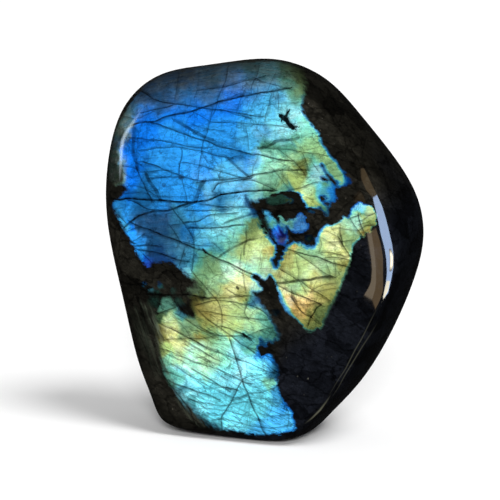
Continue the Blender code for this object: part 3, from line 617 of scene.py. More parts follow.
# Fractures that show dark in the dark parts of the stone.
DARK_LINES = lines(
    (2.6, 0.85, 243, 334, 247, 337, 251, 340),
    (5, 0.45, 262, 281, 268, 290, 272, 302, 279, 314, 287, 327, 284, 340, 270, 349),
    (3, 0.8, 137, 297, 141, 305, 143, 314, 144, 324, 146, 334, 147, 344, 149, 355, 151, 366),
    (1.6, 0.6, 145, 309, 150, 318, 156, 328, 163, 338), (1.4, 0.6, 126, 296, 134, 306, 142, 315),
    (2.2, 0.7, 118, 281, 125, 283, 133, 285, 142, 284), (2, 0.6, 112, 199, 109, 194, 113, 190, 117, 197),
    (1.5, 0.6, 110, 243, 118, 242, 126, 240, 133, 243),
    (1.8, 0.7, 150, 294, 158, 294, 166, 295, 176, 295, 186, 294, 196, 296, 206, 298),
    (1.3, 0.5, 153, 262, 154, 270, 153, 276, 158, 279), (1.2, 0.5, 170, 262, 170, 270, 174, 276),
    (2, 0.7, 262, 208, 271, 210, 280, 211, 289, 210, 297, 209, 306, 210),
    (1.5, 0.5, 268, 204, 277, 206, 287, 205, 296, 204), (1.5, 0.6, 290, 233, 294, 238, 298, 241, 302, 239),
    (2.2, 0.7, 292, 236, 300, 235, 308, 233), (1.3, 0.6, 310, 109, 323, 108, 338, 110),
    (1.3, 0.6, 320, 136, 328, 136, 337, 136, 347, 136), (1.2, 0.5, 332, 127, 340, 126, 352, 125, 366, 126),
    (1.3, 0.6, 365, 141, 363, 149, 362, 158), (1.2, 0.5, 328, 93, 326, 103),
    (1.6, 0.6, 342, 160, 352, 163, 362, 166, 372, 168), (1.6, 0.6, 344, 206, 352, 200, 359, 193),
    (1.6, 0.5, 330, 220, 338, 214, 345, 206), (1.4, 0.5, 282, 346, 290, 338, 293, 330, 300, 334),
    (1.3, 0.5, 344, 327, 352, 325, 358, 322), (1.2, 0.5, 284, 397, 292, 394, 300, 396, 309, 397),
    (1.2, 0.4, 290, 370, 301, 366, 312, 363, 322, 361), (1.1, 0.4, 318, 364, 330, 368, 344, 368),
    (1.6, 0.5, 152, 362, 160, 371, 168, 382, 176, 392, 184, 402, 192, 412),
    (1.3, 0.5, 146, 350, 153, 361, 160, 373), (1.4, 0.5, 130, 317, 137, 327, 141, 338, 146, 348),
    (1.2, 0.4, 176, 396, 183, 407, 192, 419, 200, 428),
)

# Light streaks inside the stone that fade out beyond the shining field, low on the left.
FAINT_STREAKS = lines(
    (9, 0.05, 137, 312, 142, 330, 150, 350, 158, 372),
    (6, 0.3, 153, 318, 158, 328, 164, 340, 168, 352, 172, 364), (4, 0.2, 147, 306, 153, 316, 158, 327),
    (5, 0.18, 158, 341, 163, 353, 168, 366, 174, 378),
    (3.4, 0.16, 168, 374, 175, 384, 183, 394, 190, 405, 198, 415),
    (2, 0.08, 176, 399, 184, 410, 192, 420, 200, 427), (2.2, 0.07, 184, 404, 194, 416, 204, 426),
    (2, 0.07, 150, 340, 155, 350, 160, 360), (2, 0.06, 140, 302, 146, 312, 152, 322),
)

# Small inclusions, dark and light.
SPECKS = tuple(Speck(*row) for row in (
    (181.5, 176.8, 3, 0.5), (163.8, 185, 2.2, 0.45), (161, 153, 1.3, 0.5), (217, 79, 1.3, 0.5),
    (258, 147.6, 1.3, 0.6), (258, 141, 1, 0.5), (261, 136, 1, 0.5), (275.4, 98.4, 1, 0.5),
    (275.4, 143, 1, 0.5), (237.2, 287.3, 1.7, 0.85), (238.3, 289, 1.1, 0.8), (246.3, 299.6, 1.4, 0.8),
    (305.5, 173.5, 2.2, 0.5), (245.8, 293, 1.1, 0.5), (184.4, 254, 1.6, 0.6), (252, 133, 1, 0.4),
    (269.5, 292.5, 1, -0.04), (308, 378.6, 0.9, -0.2), (297.5, 376.3, 0.7, -0.1), (308, 103, 1, -0.2),
    (320.4, 130.5, 0.8, -0.12), (346, 128, 1.1, -0.06), (172.6, 409, 0.8, -0.08), (304.4, 394.4, 1, -0.06),
    (334, 379.4, 0.8, -0.05), (327.4, 356.5, 1.2, -0.06), (286.5, 357.5, 0.6, -0.06),
    (345.5, 198, 1, -0.05), (361, 246, 0.9, -0.06), (357, 291, 1, -0.05), (331.6, 357, 0.8, -0.04),
))

# The way the shining field ends, from its upper left corner clockwise.
RIMS = tuple(Rim(*row) for row in (
    (112, 150, 30, 0, 1, 3, 0.3), (200, 68, 40, 0, 1, 3), (302, 84, 14, 0, 1, 6, 0.6),
    (200, 130, 60, 0, 1, 0.8), (306, 115, 16, 0.6, 3, 1.4, 0.6), (330, 152, 14, 0.8, 4, 1.4, 0.6),
    (350, 180, 8, 1, 6, 1.3), (304, 203, 9, 0.95, 4.5, 0.8), (330, 205, 10, 0.8, 4, 1.2),
    (282, 250, 12, 1, 5.5, 1), (262, 228, 8, 0.3, 3, 3.5), (272, 243, 6, 0.8, 4, 1.2),
    (250, 203, 9, 0.4, 3, 3), (320, 230, 9, 0.95, 5, 0.9), (313, 245, 7, 0.9, 5, 1.6),
    (335, 221, 6, 0.45, 2.5, 0.9), (357, 204, 9, 1, 3, 1), (376, 215, 7, 0.4, 1.5, 0.7),
    (368, 233, 7, 0.3, 2, 1), (353, 245, 8, 0.4, 3, 1.2, 0.7), (344, 280, 12, 0.3, 3, 2, 0.5),
    (328, 312, 12, 0.25, 3, 2.6, 0.5), (310, 329, 7, 0.35, 3, 1.8), (284, 305, 12, 1, 7.5, 0.9, 0.45),
    (276, 284, 7, 0.7, 3, 0.8), (298, 322, 7, 0.6, 2, 0.9, 0.5), (262, 283, 9, 0.6, 3.5, 0.9),
    (256, 296, 8, 0.3, 4, 2.2, 0.7), (270, 318, 10, 0.35, 4, 3.2, 0.7), (277, 335, 9, 0.5, 4, 3),
    (262, 352, 8, 0.8, 4, 1), (280, 370, 11, 0.7, 5, 2.2), (277, 388, 7, 0.4, 2, 0.8),
    (292, 412, 12, 0.85, 4, 1, 0.5), (290, 430, 10, 0.6, 3, 1.2), (250, 433, 22, 0.25, 2, 1.4),
    (205, 420, 16, 0.1, 2, 6, 0.5), (175, 385, 16, 0, 2, 6, 0.5), (164, 345, 16, 0, 2, 6, 0.5),
    (160, 310, 8, 0, 2, 3), (190, 320, 10, 0.2, 2.5, 2.5), (199, 310, 12, 0, 1, 7, 0.7),
    (200, 285, 12, 0, 1, 5), (183, 270, 9, 0.35, 2.5, 1), (160, 262, 12, 0.1, 2, 1.6),
    (136, 250, 12, 0, 1, 1.5), (116, 212, 12, 0.2, 1.5, 2),
))


class Plane:
    """Measures in the photograph's plane, where places and paths hold one row of pixel coordinates each."""

    @staticmethod
    def to_path(places: np.ndarray, path: np.ndarray, closed: bool) -> tuple[np.ndarray, np.ndarray]:
        """Measures how far places lie from a path, and on which side of it.

        Args:
            places: The places to measure.
            path: The path.
            closed: Whether its last place joins the first.

        Returns:
            The distances, and for each the side as 1 or -1.
        """
        ends = np.roll(path, -1, axis=0) if closed else path[1:]
        nearest = np.full(len(places), np.inf)
        side = np.ones(len(places))
        for start, end in zip(path, ends):
            way = end - start
            offset = places - start
            share = np.clip(offset @ way / max(way @ way, 1e-9), 0.0, 1.0)
            gap = offset - share[:, None] * way
            distance = np.hypot(gap[:, 0], gap[:, 1])
            closer = distance < nearest
            nearest = np.where(closer, distance, nearest)
            turn = way[0] * offset[:, 1] - way[1] * offset[:, 0]
            side = np.where(closer, np.where(turn >= 0, 1.0, -1.0), side)
        return nearest, side

    @staticmethod
    def inside(places: np.ndarray, outline: np.ndarray) -> np.ndarray:
        """Tells which places lie inside a closed outline.

        Args:
            places: The places to test.
            outline: The outline.

        Returns:
            True for each place inside.
        """
        found = np.zeros(len(places), dtype=bool)
        for (x0, y0), (x1, y1) in zip(outline, np.roll(outline, -1, axis=0)):
            if y0 == y1:
                continue
            spans = (places[:, 1] < y0) != (places[:, 1] < y1)
            crossing = x0 + (places[:, 1] - y0) * (x1 - x0) / (y1 - y0)
            found ^= spans & (places[:, 0] < crossing)
        return found

    @classmethod
    def to_patch(cls, places: np.ndarray, area: Patch) -> np.ndarray:
        """How deep places lie inside a patch, below zero outside."""
        distance, _ = cls.to_path(places, area.outline, closed=True)
        return np.where(cls.inside(places, area.outline), distance, -distance)

    @staticmethod
    def stirred(places: np.ndarray, shift: float, size: float, seed: int, swirls: int = 14) -> np.ndarray:
        """Moves places a little by a smooth, uneven drift, so that what is read there gets a natural border.

        Args:
            places: The places.
            shift: How far they move.
            size: How wide the drift's swirls are.
            seed: The number that the drift is drawn from.
            swirls: How many swirls are added up.

        Returns:
            The moved places.
        """
        draw = np.random.default_rng(seed)
        moved = places.copy()
        for _ in range(swirls):
            angle, phase, heading = draw.uniform(0.0, 2 * math.pi, 3)
            length = size * draw.uniform(0.5, 1.8)
            wave = np.sin((places @ (math.cos(angle), math.sin(angle))) * 2 * math.pi / length + phase)
            moved += np.outer(wave, (math.cos(heading), math.sin(heading))) * shift / math.sqrt(swirls / 2)
        return moved

    @staticmethod
    def blended(places: np.ndarray, spots: tuple[Glow | Rim, ...], values: np.ndarray) -> np.ndarray:
        """Blends values that are given at soft spots, and lets the nearest ones rule far from all of them.

        Args:
            places: Where the blend is wanted.
            spots: The spots.
            values: The spots' values, one row each.

        Returns:
            The blended values, one row for each place.
        """
        total = np.zeros((len(places), values.shape[1]))
        weights = np.zeros(len(places))
        for spot, value in zip(spots, values):
            square = ((places[:, 0] - spot.x) ** 2 + (places[:, 1] - spot.y) ** 2) / spot.reach ** 2
            weight = np.exp(-0.7 * square) + 1e-3 / (1.0 + square) ** 2
            total += weight[:, None] * value
            weights += weight
        return total / weights[:, None]


@dataclass
class LineLayers:
    """Sorts lines into layers in which no two come near each other, so that each layer is one distance field.

    A layer holds, for every vertex, the signed and the plain distance to its nearest line, that line's half
    width and its darkness.
    """

    places: np.ndarray
    reach: float = 4.0
    far: float = 9.0
    most_layers: int = 8
    layers: list[np.ndarray] = field(default_factory=list)

    def add(self, stroke: Line) -> None:
        """Puts one line into the first layer that has room for it.

        Args:
            stroke: The line.
        """
        low, high = stroke.path.min(axis=0) - self.far, stroke.path.max(axis=0) + self.far
        near = np.flatnonzero(((self.places > low) & (self.places < high)).all(axis=1))
        distance, side = Plane.to_path(self.places[near], stroke.path, closed=False)
        layer = self.layer_with_room(near[distance < self.reach])
        closer = distance < layer[near, 1]
        taken = near[closer]
        layer[taken, 0] = (distance * side)[closer]
        layer[taken, 1] = distance[closer]
        layer[taken, 2:] = stroke.width / 2, stroke.darkness

    def layer_with_room(self, wanted: np.ndarray) -> np.ndarray:
        """Finds the first layer with no line near the wanted vertices, or opens a new one.

        Args:
            wanted: The vertices that a new line would take.

        Returns:
            The layer's values, or the least crowded layer's where no more may be opened.
        """
        crowding = [np.count_nonzero(layer[wanted, 1] < self.reach) for layer in self.layers]
        if 0 in crowding:
            return self.layers[crowding.index(0)]
        if len(self.layers) < self.most_layers:
            fresh = np.zeros((len(self.places), 4))
            fresh[:, :2] = self.far
            self.layers.append(fresh)
            return fresh
        return self.layers[int(np.argmin(crowding))]


@dataclass
class StoneForm:
    """The stone's smooth form: a ring drawn out from front to back, rounded, and cut flat at the base.

    A ring is given by its depth from front to back and by how far it lies inside the outline.
    """

    name: str = "polished_freeform"
    outline_mm: tuple[tuple[float, float], ...] = (
        (-31.0, 2.2), (-35.4, 10.1), (-40.3, 22.5), (-45.0, 40.9), (-49.2, 58.4), (-51.3, 73.5),
        (-50.3, 88.8), (-45.3, 104.3), (-34.5, 113.8), (-20.2, 117.0), (-4.8, 119.3), (7.4, 118.8),
        (19.7, 113.4), (30.6, 102.8), (40.9, 90.9), (48.8, 78.6), (51.3, 65.1), (48.1, 50.7),
        (41.5, 34.8), (32.2, 18.8), (22.2, 7.1), (13.0, -0.1), (-3.5, -1.2), (-20.0, -0.6),
    )
    rings_mm: tuple[tuple[float, float], ...] = (
        (-18.8, 17.0), (-18.5, 12.0), (-18.2, 7.5), (-16.2, 3.4), (-10.0, 1.1), (0.0, -0.6), (9.0, 1.2),
        (15.5, 5.5), (17.6, 14.0),
    )
    face_crown_mm: float = 0.7
    back_crown_mm: float = 1.2
    half_width_mm: float = 51.3
    height_mm: float = 119.5
    base_inset_share: float = 0.6
    back_taper: float = 0.08
    face_slack_mm: float = 0.05
    smoothing_levels: int = 4
    crease_degrees: float = 40.0
    stone: bpy.types.Object = field(init=False)

    def cage_outline(self) -> np.ndarray:
        """The ring's corners, placed so that the smoothed edge runs through the outline's own points."""
        ones = np.eye(len(self.outline_mm))
        smoothing = (4 * ones + np.roll(ones, 1, 0) + np.roll(ones, -1, 0)) / 6
        return np.linalg.solve(smoothing, np.array(self.outline_mm))

    def ring_scale(self, inset_mm: float) -> tuple[float, float]:
        """How much an inset narrows and lowers the outline, as shares of its width and height."""
        return 1 - inset_mm / self.half_width_mm, 1 - inset_mm * (1 + self.base_inset_share) / self.height_mm

    def still_height(self) -> float:
        """The height that no inset moves, in metres."""
        return self.height_mm * self.base_inset_share / (1 + self.base_inset_share) * MM

    def build(self) -> bpy.types.Object:
        """Models the stone.

        Returns:
            The finished stone, in the frame's place.
        """
        bpy.ops.object.select_all(action="DESELECT")
        bpy.ops.mesh.primitive_circle_add(vertices=len(self.outline_mm), radius=self.half_width_mm * MM)
        self.stone = bpy.context.object
        self.stone.name = self.name
        self.stone.data.name = self.name
        bpy.ops.object.mode_set(mode="EDIT")
        bpy.ops.mesh.select_mode(type="EDGE")
        self.lay_first_ring()
        self.close_end(-self.face_crown_mm * MM)
        for before, ring in zip(self.rings_mm, self.rings_mm[1:]):
            self.draw_ring(before, ring)
        self.close_end(self.back_crown_mm * MM)
        self.thin_the_back()
        self.refine_face()
        bpy.ops.mesh.select_all(action="SELECT")
        bpy.ops.mesh.normals_make_consistent(inside=False)
        bpy.ops.object.mode_set(mode="OBJECT")
        self.smooth()
        self.cut_base()
        self.settle()
        bpy.ops.object.shade_smooth_by_angle(angle=math.radians(self.crease_degrees))
        return self.stone

    @contextmanager
    def edited(self) -> Iterator[bmesh.types.BMesh]:
        """Hands out the stone's mesh in edit mode, and takes the changes over.

        Yields:
            The mesh.
        """
        shape = bmesh.from_edit_mesh(self.stone.data)
        shape.verts.ensure_lookup_table()
        yield shape
        bmesh.update_edit_mesh(self.stone.data)

    def lay_first_ring(self) -> None:
        """Lays the circle's points on the foremost ring of the outline."""
        depth, inset = self.rings_mm[0]
        across_share, up_share = self.ring_scale(inset)
        still = self.still_height()
        with self.edited() as shape:
            for vertex, (across, up) in zip(shape.verts, self.cage_outline() * MM):
                vertex.co = (across * across_share, depth * MM, still + (up - still) * up_share)

    def draw_ring(self, before: tuple[float, float], ring: tuple[float, float]) -> None:
        """Extrudes the open end to the next ring and scales it to the ring's inset.

        Args:
            before: The ring that is drawn out.
            ring: The next ring.
        """
        bpy.ops.mesh.select_all(action="DESELECT")
        with self.edited() as shape:
            for edge in shape.edges:
                edge.select = len(edge.link_faces) < 2
        step = (0.0, (ring[0] - before[0]) * MM, 0.0)
        bpy.ops.mesh.extrude_region_move(TRANSFORM_OT_translate={"value": step})
        old, new = self.ring_scale(before[1]), self.ring_scale(ring[1])
        share = (new[0] / old[0], 1.0, new[1] / old[1])
        bpy.ops.transform.resize(value=share, center_override=(0.0, 0.0, self.still_height()))

    def close_end(self, crown: float) -> None:
        """Closes the open end with an even grid of faces and raises its middle by the crown.

        Args:
            crown: How far the middle is raised along +Y, in metres.
        """
        bpy.ops.mesh.select_all(action="DESELECT")
        with self.edited() as shape:
            rim = [edge for edge in shape.edges if len(edge.link_faces) < 2]
            ring = self.in_order(rim)
            side = len(ring) // 4
            starts = (*range(side), *range(2 * side, 3 * side))
            rails = {frozenset((ring[i], ring[(i + 1) % len(ring)])) for i in starts}
            for edge in rim:
                edge.select = frozenset(edge.verts) in rails
            known = len(shape.verts)
        numbers = [vertex.index for vertex in ring]
        bpy.ops.mesh.fill_grid()
        with self.edited() as shape:
            places = [shape.verts[number].co.copy() for number in numbers]
            centre = sum(places, Vector()) / len(places)
            reach = max((place - centre).length for place in places)
            for vertex in shape.verts[known:]:
                vertex.co.y += crown * (1 - ((vertex.co - centre).length / reach) ** 2)

    @staticmethod
    def in_order(rim: list[bmesh.types.BMEdge]) -> list[bmesh.types.BMVert]:
        """Walks round a closed ring of edges from its lowest numbered vertex.

        Args:
            rim: The ring's edges.

        Returns:
            The ring's vertices in order.
        """
        steps = {}
        for edge in rim:
            for vertex in edge.verts:
                steps.setdefault(vertex, []).append(edge.other_vert(vertex))
        first = min(steps, key=lambda vertex: vertex.index)
        order = [first, min(steps[first], key=lambda vertex: vertex.index)]
        while len(order) < len(steps):
            here, back = order[-1], order[-2]
            order.append(next(vertex for vertex in steps[here] if vertex != back))
        return order

    def thin_the_back(self) -> None:
        """Draws the back half in a little towards the top."""
        with self.edited() as shape:
            for vertex in shape.verts:
                if vertex.co.y > 0:
                    vertex.co.y *= 1 - self.back_taper * vertex.co.z / (self.height_mm * MM)

    def refine_face(self) -> None:
        """Gives the broad face a finer mesh, to carry its markings."""
        bpy.ops.mesh.select_mode(type="FACE")
        bpy.ops.mesh.select_all(action="DESELECT")
        front = (self.rings_mm[0][0] + self.face_slack_mm) * MM
        with self.edited() as shape:
            for face in shape.faces:
                face.select = all(vertex.co.y < front for vertex in face.verts)
        bpy.ops.mesh.subdivide(number_cuts=1)

    def smooth(self) -> None:
        """Rounds the cage into the polished form."""
        rounding = self.stone.modifiers.new("polished_form", "SUBSURF")
        rounding.levels = self.smoothing_levels
        rounding.render_levels = self.smoothing_levels
        bpy.ops.object.modifier_apply(modifier=rounding.name)

    def cut_base(self) -> None:
        """Cuts the stone off flat at the base plane and fills the cut."""
        bpy.ops.object.mode_set(mode="EDIT")
        bpy.ops.mesh.select_all(action="SELECT")
        bpy.ops.mesh.bisect(plane_co=(0, 0, 0), plane_no=(0, 0, 1), use_fill=True, clear_inner=True,
                            threshold=1e-6)
        bpy.ops.object.mode_set(mode="OBJECT")

    def settle(self) -> None:
        """Moves the mesh so that its box stands where the frame's solid has its box."""
        corners = np.array([corner[:] for corner in self.stone.bound_box])
        low, high = np.array(STONE_BOX[0]), np.array(STONE_BOX[1])
        shift = (low + high) / 2 - (corners.min(axis=0) + corners.max(axis=0)) / 2
        bpy.ops.object.mode_set(mode="EDIT")
        bpy.ops.mesh.select_all(action="SELECT")
        bpy.ops.transform.translate(value=(shift[0], shift[1], 0.0))
        bpy.ops.object.mode_set(mode="OBJECT")


@dataclass
class Markings:
    """Carries the markings from the photograph's frame onto the stone's vertices.

    Places are where the vertices show in the photograph, and seen tells which of them face the camera. A
    drift is given by its shift, its size and its seed.
    """

    stone: bpy.types.Object
    camera: PhotoCamera
    hidden_depth: float = -8.0
    hidden_place: float = -100.0
    least_facing: float = 0.02
    drifts: tuple[tuple[float, float, int], ...] = ((3.0, 26.0, 3), (1.5, 9.0, 5))
    dim_shard: float = 0.5
    streak_spread: float = 0.6
    places: np.ndarray = field(init=False)
    seen: np.ndarray = field(init=False)

    def draw(self) -> int:
        """Writes all markings as attributes of the stone's mesh.

        Returns:
            The number of line layers that the material has to draw.
        """
        points = self.read(self.stone.data.vertices, "co")
        normals = self.read(self.stone.data.vertex_normals, "vector")
        sight = self.camera.place() - points
        facing = (normals * sight).sum(axis=1) / np.linalg.norm(sight, axis=1)
        self.places = self.camera.project(points)
        self.seen = facing > self.least_facing
        self.draw_field()
        self.draw_spots()
        return self.draw_lines()

    @staticmethod
    def read(rows: bpy.types.bpy_prop_collection, name: str) -> np.ndarray:
        """Reads a vector from each row of the mesh.

        Args:
            rows: The mesh's rows.
            name: The vector's name.

        Returns:
            The vectors, one row each.
        """
        values = np.empty(len(rows) * 3)
        rows.foreach_get(name, values)
        return values.reshape(-1, 3)

    def write(self, name: str, values: np.ndarray) -> None:
        """Stores a row of four numbers for each vertex under a name."""
        attribute = self.stone.data.attributes.new(name, "FLOAT_COLOR", "POINT")
        attribute.data.foreach_set("color", values.astype(np.float32).ravel())

    def draw_field(self) -> None:
        """Writes the shining field: its depth from the edge, tint, light and paleness, and its rim."""
        depth = Plane.to_patch(self.places, SHINING_FIELD)
        for slit in SLITS:
            depth = np.minimum(depth, -Plane.to_patch(self.places, slit))
        stirred = self.places
        for shift, size, seed in self.drifts:
            stirred = Plane.stirred(stirred, shift, size, seed)
        looks = np.array([(glow.tint.value, glow.light, glow.pale) for glow in GLOWS])
        look = Plane.blended(stirred, GLOWS, looks)
        for shard in SHARDS:
            within = Plane.to_patch(self.places, shard)
            if shard.light < self.dim_shard:
                look[within > depth, 1] = shard.light
            depth = np.maximum(depth, within)
        depth = np.where(self.seen, depth, self.hidden_depth)
        self.write("shine", np.column_stack((depth, look)))
        edges = np.array([(rim.strength, rim.width, rim.softness, rim.ragged) for rim in RIMS])
        self.write("rim", Plane.blended(self.places, RIMS, edges))

    def draw_spots(self) -> None:
        """Writes the specks and the faint streaks."""
        depth = np.full(len(self.places), self.hidden_depth)
        darkness = np.zeros(len(self.places))
        for speck in SPECKS:
            within = speck.radius - np.hypot(self.places[:, 0] - speck.x, self.places[:, 1] - speck.y)
            fresh = (within > depth) & self.seen
            depth[fresh] = within[fresh]
            darkness[fresh] = speck.darkness
        faint = np.zeros(len(self.places))
        for streak in FAINT_STREAKS:
            distance, _ = Plane.to_path(self.places, streak.path, closed=False)
            fall = np.exp(-(distance / (self.streak_spread * streak.width)) ** 2)
            faint = np.maximum(faint, streak.darkness * fall)
        self.write("speck", np.column_stack((depth, darkness, np.where(self.seen, faint, 0.0), self.seen)))

    def draw_lines(self) -> int:
        """Writes the fractures, one attribute for each layer.

        Returns:
            The number of layers.
        """
        sorter = LineLayers(np.where(self.seen[:, None], self.places, self.hidden_place))
        for stroke in UPPER_LINES + MIDDLE_LINES + WEDGE_LINES + LOWER_LINES + DARK_LINES:
            sorter.add(stroke)
        for number, layer in enumerate(sorter.layers):
            self.write(f"lines_{number}", layer)
        return len(sorter.layers)


@dataclass(frozen=True)
class Grain:
    """An uneven pattern inside the stone, measured in millimetres.

    It is turned by some degrees in the face's plane and drawn out along that: the smaller along is, the
    longer its features. The spread says between which of its values it rises, and from what to what.
    """

    turn: float = 0.0
    along: float = 1.0
    scale: float = 1.0
    detail: float = 3.0
    rough: float = 0.5
    spread: tuple[float, ...] = ()
    deep: float = 1.0


class Nodes:
    """A short hand for building a node tree, in which every value is a socket or a plain number."""

    def __init__(self, owner: bpy.types.Material | bpy.types.World) -> None:
        """Takes over and empties a tree.

        Args:
            owner: The material or world that the tree belongs to.
        """
        owner.use_nodes = True
        self.tree = owner.node_tree
        self.tree.nodes.clear()

    def add(self, kind: str, inputs: dict[str | int, object], **settings: object) -> bpy.types.Node:
        """Adds a node.

        Args:
            kind: The node's kind.
            inputs: For each of its inputs, the socket that feeds it or its value.
            settings: The node's own settings.

        Returns:
            The node.
        """
        node = self.tree.nodes.new(kind)
        for key, value in settings.items():
            setattr(node, key, value)
        for key, value in inputs.items():
            if isinstance(value, Socket):
                self.tree.links.new(value, node.inputs[key])
            else:
                node.inputs[key].default_value = value
        return node

    def show(self, surface: bpy.types.Node, kind: str = "Material") -> None:
        """Makes a shader the one that the material or the world shows."""
        self.add(f"ShaderNodeOutput{kind}", {"Surface": surface.outputs[0]})

    def math(self, operation: str, first: object, second: object = 0.0, clamp: bool = False) -> Socket:
        """One sum on one or two values, kept between 0 and 1 where it is clamped."""
        inputs = {0: first, 1: second}
        return self.add("ShaderNodeMath", inputs, operation=operation, use_clamp=clamp).outputs[0]

    def times(self, first: object, second: object, clamp: bool = False) -> Socket:
        """One value times another."""
        return self.math("MULTIPLY", first, second, clamp)

    def plus(self, first: object, second: object, clamp: bool = False) -> Socket:
        """One value and another."""
        return self.math("ADD", first, second, clamp)

    def minus(self, first: object, second: object, clamp: bool = False) -> Socket:
        """One value less another."""
        return self.math("SUBTRACT", first, second, clamp)

    def dimmed(self, light: object, mark: object, share: object) -> Socket:
        """A light where a mark takes away a share of it."""
        return self.times(light, self.minus(1.0, self.times(mark, share)))

    def swing(self, value: object, size: object) -> Socket:
        """How far a value lies from one half, times a size."""
        return self.times(self.minus(value, 0.5), size)

    def span(self, value: object, low: object, high: object, start: object = 0.0,
             end: object = 1.0) -> Socket:
        """Takes a value smoothly from between low and high to between start and end."""
        inputs = dict(enumerate((value, low, high, start, end)))
        return self.add("ShaderNodeMapRange", inputs, interpolation_type="SMOOTHSTEP").outputs[0]

    def parts(self, colour: Socket) -> tuple[Socket, ...]:
        """The three numbers of a colour."""
        return tuple(self.add("ShaderNodeSeparateColor", {0: colour}).outputs)

    def attribute(self, name: str) -> tuple[Socket, ...]:
        """The four numbers of one of the mesh's attributes."""
        source = self.add("ShaderNodeAttribute", {}, attribute_name=name)
        return *self.parts(source.outputs["Color"]), source.outputs["Alpha"]

    def place(self, grain: Grain) -> Socket:
        """Object coordinates in millimetres, turned and stretched for a pattern.

        Args:
            grain: The pattern.

        Returns:
            The coordinates' socket.
        """
        source = self.add("ShaderNodeTexCoord", {})
        turned = self.add("ShaderNodeMapping", {
            "Vector": source.outputs["Object"],
            "Rotation": (0.0, math.radians(grain.turn), 0.0),
            "Scale": (1 / MM, 1 / MM, 1 / MM),
        })
        stretch = {0: turned.outputs[0], 1: (grain.along, grain.deep, 1.0)}
        return self.add("ShaderNodeVectorMath", stretch, operation="MULTIPLY").outputs[0]

    def axes(self) -> tuple[Socket, ...]:
        """The place in millimetres to the right, towards the back and up."""
        return tuple(self.add("ShaderNodeSeparateXYZ", {0: self.place(Grain())}).outputs)

    def spread(self, value: Socket, grain: Grain) -> Socket:
        """The value of a pattern over its spread, where it has one."""
        return self.span(value, *grain.spread) if grain.spread else value

    def noise(self, grain: Grain) -> Socket:
        """A pattern of smooth noise around one half.

        Args:
            grain: The pattern.

        Returns:
            The noise over the pattern's spread.
        """
        inputs = {"Vector": self.place(grain), "Scale": grain.scale, "Detail": grain.detail,
                  "Roughness": grain.rough}
        return self.spread(self.add("ShaderNodeTexNoise", inputs).outputs[0], grain)

    def hairs(self, grain: Grain, width: float) -> Socket:
        """Fine lines, dark where a noise passes its middle value."""
        return self.span(self.math("ABSOLUTE", self.minus(self.noise(grain), 0.5)), 0.0, width, 1.0, 0.0)

    def broken(self, grain: Grain, feature: str, drift: float = 0.7, finer: float = 1.8) -> bpy.types.Node:
        """A surface broken up into cells with crooked edges.

        Args:
            grain: The cells' pattern.
            feature: What is measured in the cells.
            drift: How far the edges wander, in shares of a cell.
            finer: How much finer than a cell they wander.

        Returns:
            The cells' node.
        """
        where = self.place(grain)
        bends = {"Vector": where, "Scale": grain.scale * finer, "Detail": 4.0, "Roughness": 0.6}
        bend = self.add("ShaderNodeTexNoise", bends).outputs["Color"]
        push = {0: bend, 1: (drift / grain.scale,) * 3, 2: where}
        bent = self.add("ShaderNodeVectorMath", push, operation="MULTIPLY_ADD").outputs[0]
        return self.add("ShaderNodeTexVoronoi", {"Vector": bent, "Scale": grain.scale}, feature=feature)

    def cells(self, grain: Grain) -> Socket:
        """A number for each cell of a broken up surface, over the pattern's spread."""
        return self.spread(self.parts(self.broken(grain, "F1").outputs["Color"])[0], grain)

    def net(self, grain: Grain, width: float) -> Socket:
        """The dark net of lines between cells, as wide as a share of a cell."""
        return self.span(self.broken(grain, "DISTANCE_TO_EDGE").outputs["Distance"], 0.0, width, 1.0, 0.0)

    def mix(self, share: object, first: object, second: object, blend: str = "MIX") -> Socket:
        """Mixes a share of the second colour into the first."""
        inputs = {0: share, 6: first, 7: second}
        return self.add("ShaderNodeMix", inputs, data_type="RGBA", blend_type=blend).outputs[2]

    def scaled(self, colour: object, factor: object) -> Socket:
        """Makes a colour lighter or darker by a factor."""
        inputs = {0: colour if isinstance(colour, Socket) else colour[:3], "Scale": factor}
        return self.add("ShaderNodeVectorMath", inputs, operation="SCALE").outputs[0]


